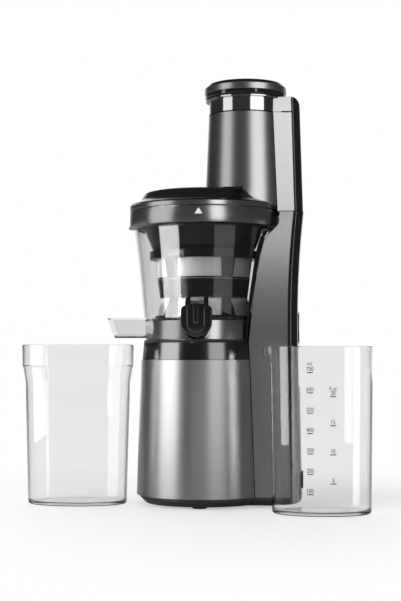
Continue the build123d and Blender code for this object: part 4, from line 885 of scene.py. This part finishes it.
# %% The joint under the top ring
JOINT_LOW, JOINT_HIGH = 413.0, 414.4
chute_middle = ((chute.x - drive.x) / MM, (chute.y - drive.y) / MM)
joint_outline = slab(38.6, 39.35, JOINT_LOW, JOINT_HIGH, 0.2, 0.3, steps=2)
joint_ring = turned_skin(joint_outline, chute_middle, segments=160)
piece("chute_joint", joint_ring, "lid", "black_plastic", finish="joint_black")
strip = slab(84.2, 95.3, JOINT_LOW, JOINT_HIGH, 0.4, 0.4, steps=3)
STRIP_LEVELS = [(0.0, 24.6), (1.0, 24.6), (1.0, 25.35), (0.98, 25.45), (0.0, 25.45)]
for label, side in SIDES.items():
    mesh = stacked_skin(strip, strip.mean(axis=0), [(share, side * depth) for share, depth in STRIP_LEVELS])
    piece("panel_joint_" + label, mesh, "lid", "black_plastic", finish="joint_black")

# %% [markdown]
# The mains switch is nearly flush with the rear shell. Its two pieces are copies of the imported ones, with
# the loose triangles merged. What stands proud of the shell is pressed flatter. The rocker's axle and its
# bores are made slimmer about their own axis: they stay round, and the rocker tilts freely.

# %% The flush switch
SWITCH_PROUD = 0.25
AXLE_SLIM = 0.6
AXLE_BAND = (1.5 * MM, 1.72 * MM)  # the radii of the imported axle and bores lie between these
bezel_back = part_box("switch_housing")[1].x - 1.4 * MM
axle_at = Vector((bezel_back - 1.0 * MM, 0.0, middle_of("rocker").z))


def pressed(node):
    mesh = nodes[node].data.copy()
    tidy = bmesh.new()
    tidy.from_mesh(mesh)
    bmesh.ops.remove_doubles(tidy, verts=tidy.verts, dist=1e-6)
    for corner in tidy.verts:
        spoke = corner.co - axle_at
        spoke.y = 0.0
        if AXLE_BAND[0] < spoke.length < AXLE_BAND[1]:
            corner.co -= spoke * (1.0 - AXLE_SLIM)
        elif corner.co.x > bezel_back:
            corner.co.x = bezel_back + (corner.co.x - bezel_back) * SWITCH_PROUD
    return smoothed(mesh, tidy, 30)


piece("switch_housing_flush", pressed("switch_housing"), "base", "black_plastic", ["switch_housing"])
piece("rocker_flush", pressed("rocker"), "rocker", "gloss_black", ["rocker"])

# %% [markdown]
# ## Printed marks
# The jug is graduated in millilitres and fluid ounces, and a small triangle on the bowl's collar says
# where the lid locks. Print is a very thin raised layer. Numbers are text made into a mesh, and the short
# lines under them are repeated by Geometry Nodes. Both are flat at first, and are then laid on the oval.

# %% The jug's scale
PRINT_DEPTH = 0.12
PRINT_CLEAR = 0.03  # between the print and the wall, so that they never share a plane
WALL_SPREAD = 2.3  # how much the jug's half width grows from foot to rim
SCALES = {
    "millilitres": {"unit": "mL", "unit_up": 149.1, "across": -10.9, "low": 21.7, "step": 19.75},
    "ounces": {"unit": "fl oz", "unit_up": 124.6, "across": 11.5, "low": 32.2, "step": 28.2},
}
LABELS = {"millilitres": range(100, 701, 100), "ounces": range(5, 21, 5)}
LABEL_RISE = 3.5
DIGIT_HEIGHT, UNIT_HEIGHT, SQUEEZE = 4.2, 3.6, 0.84


def centred(values):
    return values - (values.max() + values.min()) / 2


def flat_text(words, height):
    """Points (across, deep, up) in millimetres and faces of a word, its middle at the origin."""
    curve = bpy.data.curves.new(words, "FONT")
    curve.body = words
    curve.align_x, curve.align_y = "CENTER", "CENTER"
    curve.resolution_u = 3
    curve.extrude = 0.5
    curve.offset = 0.006
    mesh = plain_mesh(placed(words, curve))
    across, up, deep = np.array([tuple(v.co) for v in mesh.vertices]).T
    scale = height / np.ptp(up)
    flat = np.stack([centred(across * scale * SQUEEZE), -deep * PRINT_DEPTH, centred(up * scale)], 1)
    return flat, [tuple(face.vertices) for face in mesh.polygons]


def on_jug(points):
    """Lays flat points on the front of the jug: across stays, the depth follows the oval."""
    across, deep, up = points.T
    half_width = JUG_FOOT + WALL_SPREAD * up / JUG_HEIGHT
    surface = (half_width - JUG_LEAN) * np.sqrt(1 - (across / half_width) ** 2)
    return ring(JUG_AT[0] + across, JUG_AT[1] - surface - PRINT_DEPTH / 2 - PRINT_CLEAR + deep, up)


def make_tick_tree():
    tree, given = open_tree("Scale ticks", {"Ticks": 7, "Step": 20.0, "Width": 5.8, "Height": 0.95})
    size = vector(tree, X=given["Width"], Y=PRINT_DEPTH, Z=given["Height"])
    tick = shape(tree, "MeshCube", {"Size": size, "Vertices X": 5})
    lift = maths(tree, "MULTIPLY", shape(tree, "InputIndex"), given["Step"])
    ticks = repeated(tree, given["Ticks"], tick, vector(tree, Z=lift))
    return close_tree(tree, ticks, given["Finish"])


tick_tree = make_tick_tree()
for scale, row in SCALES.items():
    across, low, step, labels = row["across"], row["low"], row["step"], LABELS[scale]
    ticks = run_tree(tick_tree, finishes["black_print"], Ticks=len(labels), Step=step)
    corners = np.array([tuple(v.co) for v in ticks.vertices]) - np.array([drive.x, drive.y, 0.0])
    corners += np.array([across, 0.0, low])
    ticks = closed_mesh(on_jug(corners), [tuple(face.vertices) for face in ticks.polygons])
    piece("jug_ticks_" + scale, ticks, "juice_jug", "black_plastic", finish="black_print")
    words = [(str(label), DIGIT_HEIGHT, low + k * step + LABEL_RISE) for k, label in enumerate(labels)]
    points, faces, before = [], [], 0
    for word, height, up in words + [(row["unit"], UNIT_HEIGHT, row["unit_up"])]:
        flat, word_faces = flat_text(word, height)
        points.append(on_jug(flat + np.array([across, 0.0, up])))
        faces += [tuple(corner + before for corner in face) for face in word_faces]
        before += len(flat)
    numbers = closed_mesh(np.concatenate(points), faces)
    piece("jug_numbers_" + scale, numbers, "juice_jug", "black_plastic", finish="black_print")

# %% [markdown]
# The lock mark is a flat triangle laid on the round collar. Two layers of the same rows of three points
# are its back and its front, and a strip of faces closes them along the edge.

# %% The lock mark
MARK_MIDDLE = (1.5, 304.2)
MARK_SIZE = (8.0, 6.4)
MARK_LAYERS = (80.87, 81.0)  # radii, from just above the band
MARK_ROWS = 6


def make_lock_mark():
    """A flat triangle, point up, laid on the front of the bowl's collar."""
    across, high = MARK_SIZE
    points, faces = [], []
    for layer in MARK_LAYERS:
        for share in np.arange(MARK_ROWS + 1) / MARK_ROWS:
            for side in (-0.5, 0.0, 0.5):
                x = MARK_MIDDLE[0] + side * across * (1 - share)
                points.append((x, -math.sqrt(layer**2 - x**2), MARK_MIDDLE[1] + high * (share - 0.5)))
    layer_size = 3 * (MARK_ROWS + 1)
    rows = [3 * k for k in range(MARK_ROWS)]
    for corner in [base + row + column for base in (0, layer_size) for row in rows for column in (0, 1)]:
        faces.append((corner, corner + 1, corner + 4, corner + 3))
    edge = [(k, k + 3) for k in rows] + [(k + 2, k + 5) for k in rows] + [(0, 1), (1, 2)]
    faces += [(a, b, b + layer_size, a + layer_size) for a, b in edge]
    return closed_mesh(points, faces, sharp=20)


piece("lock_mark", make_lock_mark(), "bowl", "black_plastic", finish="white_print")

# %% [markdown]
# ## Floor, studio and camera
# The set stands on a plain pale floor in front of a white studio. White comes from what the camera sees
# there, never from more light on the juicer, and the floor keeps its shadows. To gloss, the floor is dark
# in front of the set and pale behind and close to it, which gives the metals their depth.

# %% The floor
FLOOR_HALF = 6.0
FLOOR_DARK, FLOOR_PALE = (0.15, 0.15, 0.15), (0.66, 0.66, 0.66)
WHITE_FROM, WHITE_TO = 0.22, 0.55  # distances from the middle, in metres
PALE_BEHIND = (0.05, 0.3)
PALE_NEAR = (0.3, 0.85)
NEAR_GLOW = 0.47


def straight_rays(tree):
    """Light Path's outputs, and 1 for rays that come straight or through clear plastic, 0 once they bounce."""
    ray = add(tree, "LightPath").outputs
    bounces = maths(tree, "ADD", ray["Glossy Depth"], ray["Diffuse Depth"])
    return ray, maths(tree, "LESS_THAN", bounces, 0.5)


def make_floor():
    """Pale and shaded near the set, plain white further away."""
    mesh = bpy.data.meshes.new("floor")
    corners = [(x * FLOOR_HALF, y * FLOOR_HALF, 0) for x, y in ((-1, -1), (1, -1), (1, 1), (-1, 1))]
    mesh.from_pydata(corners, [], [(0, 1, 2, 3)])
    floor = placed("floor", mesh)
    material, tree, shader = start_material("floor_white", Roughness=0.6, Specular_IOR_Level=0.1)
    place = place_in(tree)
    distance = add(tree, "VectorMath", {0: place}, operation="LENGTH").outputs["Value"]
    back = add(tree, "SeparateXYZ", {0: place}).outputs["Y"]
    ray, straight = straight_rays(tree)
    behind = fitted(tree, back, *PALE_BEHIND)
    near = fitted(tree, distance, *PALE_NEAR, 1.0, 0.0)
    seen = maths(tree, "MAXIMUM", straight, ray["Is Diffuse Ray"])
    pale = maths(tree, "MAXIMUM", maths(tree, "MAXIMUM", behind, near), seen)
    colour_between(tree, shader, pale, FLOOR_DARK, FLOOR_PALE)
    near_glow = out(tree, "Emission", {"Strength": NEAR_GLOW})
    glow = out(tree, "MixShader", {0: straight, 2: near_glow})
    lit = out(tree, "AddShader", {0: shader.outputs[0], 1: glow})
    far = fitted(tree, distance, WHITE_FROM, WHITE_TO, smooth=True)
    white = out(tree, "Emission")
    whiteness = maths(tree, "MULTIPLY", straight, far)
    both = out(tree, "MixShader", {0: whiteness, 1: lit, 2: white})
    tree.links.new(both, tree.nodes["Material Output"].inputs["Surface"])
    mesh.materials.append(material)
    floor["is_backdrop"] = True
    return floor


floor = make_floor()
print("floor", floor.name)

# %% The white studio
WHITE_BEHIND = (0.7, 0.95, 0.05, 1.0)  # from where to where along Y, and the strengths there
FAINT_FRONT = (-0.9, -0.5, 0.06, 0.0)
SOFT_FILL = 0.45


def make_world():
    """White to the camera and through clear plastic. To gloss, white behind the set and nearly dark round it."""
    world = bpy.data.worlds.new("studio")
    world.use_nodes = True
    tree = world.node_tree
    light = tree.nodes["Background"]
    light.inputs["Color"].default_value = opaque((1, 1, 1))
    ray, straight = straight_rays(tree)
    direction = add(tree, "TexCoord").outputs["Generated"]
    back = add(tree, "SeparateXYZ", {0: direction}).outputs["Y"]
    behind = fitted(tree, back, *WHITE_BEHIND, smooth=True)
    front = fitted(tree, back, *FAINT_FRONT, smooth=True)
    around = maths(tree, "MAXIMUM", behind, front)
    bounced = maths(tree, "MAXIMUM", around, maths(tree, "MULTIPLY", ray["Is Diffuse Ray"], SOFT_FILL))
    tree.links.new(maths(tree, "MAXIMUM", straight, bounced), light.inputs["Strength"])
    bpy.context.scene.world = world


make_world()
print("world", bpy.context.scene.world.name)

# %% [markdown]
# Each finish wants its own light: gloss black wants narrow windows, satin metal wide ones, and clear
# plastic bright edges. Light linking gives every softbox its own list of pieces, so that one finish can be
# lit without spoiling another. What isn't named in a list takes the key, base and top softboxes.

# %% The lights
LIT = {
    "pulp": ["pulp_cup_clear"],
    "jug": ["juice_jug_clear"],
    "bowl": [name for name, slot in slot_of.items() if slot == "clear_plastic"],
    "chute": ["chute_sleeve", "chute_top_ring", "pusher_band"],
    "satin": ["lid_rim", "bowl_collar_band", "bowl_band"],
    "gloss": ["lid_cover", "pusher_body", "spine_rear_shell", "chute_rear_shell", "rocker_flush", *stopper_meshes],
    "low_panel": ["spine_side_panels"],
    "high_panel": ["chute_side_panels"],
}
shown = [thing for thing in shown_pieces() if thing.type == "MESH"]


def named(names):
    return [thing for thing in shown if thing.name in names]


lit_by = {finish: named(names) for finish, names in LIT.items()}
special = [thing for things in lit_by.values() for thing in things]
lit_by["base"] = [thing for thing in shown if thing not in special]
lit_by["sleeve"] = named(["motor_sleeve"])
lit_by["back"] = named(["motor_sleeve", "base_collar"]) + lit_by["satin"]
lit_by["floor"] = [floor]
SOFTBOXES = [
    # name, angle, distance, height, width, tall, radiance, what it lights, and an aim of its own
    ("key_softbox", -60, 1.3, 0.45, 0.9, 1.3, 3.6, "base floor"),
    ("base_softbox", 28, 1.4, 0.4, 0.7, 1.3, 2.2, "base"),
    ("gloss_left", -60, 1.3, 0.45, 0.26, 1.2, 2.6, "gloss"),
    ("gloss_right", 34, 1.4, 0.45, 0.12, 1.2, 3.4, "gloss"),
    ("satin_left", -62, 1.3, 0.45, 0.95, 1.2, 1.0, "satin"),
    ("satin_right", 25, 1.4, 0.45, 0.5, 1.2, 1.9, "satin"),
    ("chute_left", -54, 1.3, 0.45, 0.75, 1.3, 1.8, "chute"),
    ("chute_right", 41, 1.4, 0.45, 1.05, 1.3, 2.8, "chute"),
    ("sleeve_left", -57, 1.3, 0.3, 0.8, 1.2, 1.3, "sleeve"),
    ("sleeve_front", 0, 0.9, 0.12, 0.6, 0.24, 0.6, "sleeve", 0.08),
    ("bowl_left", -55, 1.3, 0.3, 0.85, 1.2, 8.0, "bowl"),
    ("bowl_right", 40, 1.4, 0.3, 0.9, 1.2, 0.7, "bowl"),
    ("pulp_left", -76, 0.62, 0.2, 0.32, 0.5, 4.4, "pulp", 0.15),
    ("pulp_right", 58, 0.66, 0.2, 0.26, 0.5, 5.6, "pulp", 0.15),
    ("jug_left", -61, 0.42, 0.2, 0.22, 0.5, 8.0, "jug", 0.15),
    ("jug_right", 51, 0.65, 0.2, 0.16, 0.5, 5.0, "jug", 0.15),
    ("panel_low", 4, 0.8, 0.72, 0.6, 0.3, 2.8, "low_panel", 0.47),
    ("panel_high", 6, 0.8, 0.56, 0.7, 0.4, 3.9, "high_panel", 0.42),
    ("top_softbox", 180, 0.25, 1.5, 1.4, 1.0, 0.5, "base chute floor"),
    ("back_left", -157, 1.4, 0.45, 0.5, 1.3, 1.5, "back"),
    ("back_right", 155, 1.4, 0.45, 0.3, 1.3, 1.9, "back"),
    ("back_chute", 176, 1.4, 0.45, 0.3, 1.3, 1.4, "chute"),
]


def softbox(name, angle, distance, height, width, tall, radiance, lit, target=0.22):
    """An area light aimed at a height on the drive axis. Angle 0 is in front, and positive is to the right."""
    lamp = bpy.data.lights.new(name, "AREA")
    lamp.shape = "RECTANGLE"
    lamp.size, lamp.size_y = width, tall
    lamp.energy = radiance * math.pi * width * tall
    box = placed(name, lamp)
    turn = math.radians(angle)
    box.location = (drive.x + distance * math.sin(turn), drive.y - distance * math.cos(turn), height)
    aim = Vector((drive.x, drive.y, target)) - box.location
    box.rotation_euler = aim.to_track_quat("-Z", "Y").to_euler()
    box.visible_camera = False
    group = bpy.data.collections.new(name + "_lights")
    for thing in [thing for finish in lit.split() for thing in lit_by[finish]]:
        group.objects.link(thing)
    box.light_linking.receiver_collection = group


for row in SOFTBOXES:
    softbox(*row)
print("lights", len(bpy.data.lights), "on", len(shown), "pieces")

# %% The camera
CAMERA_FROM_DRIVE = (0.1229, -1.4448)
CAMERA_HEIGHT = 0.1544
LENS = 81.1
LOOK_UP, LOOK_LEFT = 2.43, 5.0  # degrees


def make_camera():
    """A long lens in front of the set, a little to the right, looking slightly up from bowl height."""
    camera = placed("camera", bpy.data.cameras.new("camera"))
    camera.data.lens = LENS
    camera.data.sensor_width = 36.0
    camera.location = (drive.x + CAMERA_FROM_DRIVE[0], drive.y + CAMERA_FROM_DRIVE[1], CAMERA_HEIGHT)
    camera.rotation_euler = (math.radians(90 + LOOK_UP), 0, math.radians(LOOK_LEFT))
    bpy.context.scene.camera = camera
    return camera


camera = make_camera()
bpy.context.scene.view_settings.view_transform = "Standard"
print("camera", [round(v, 3) for v in camera.location])
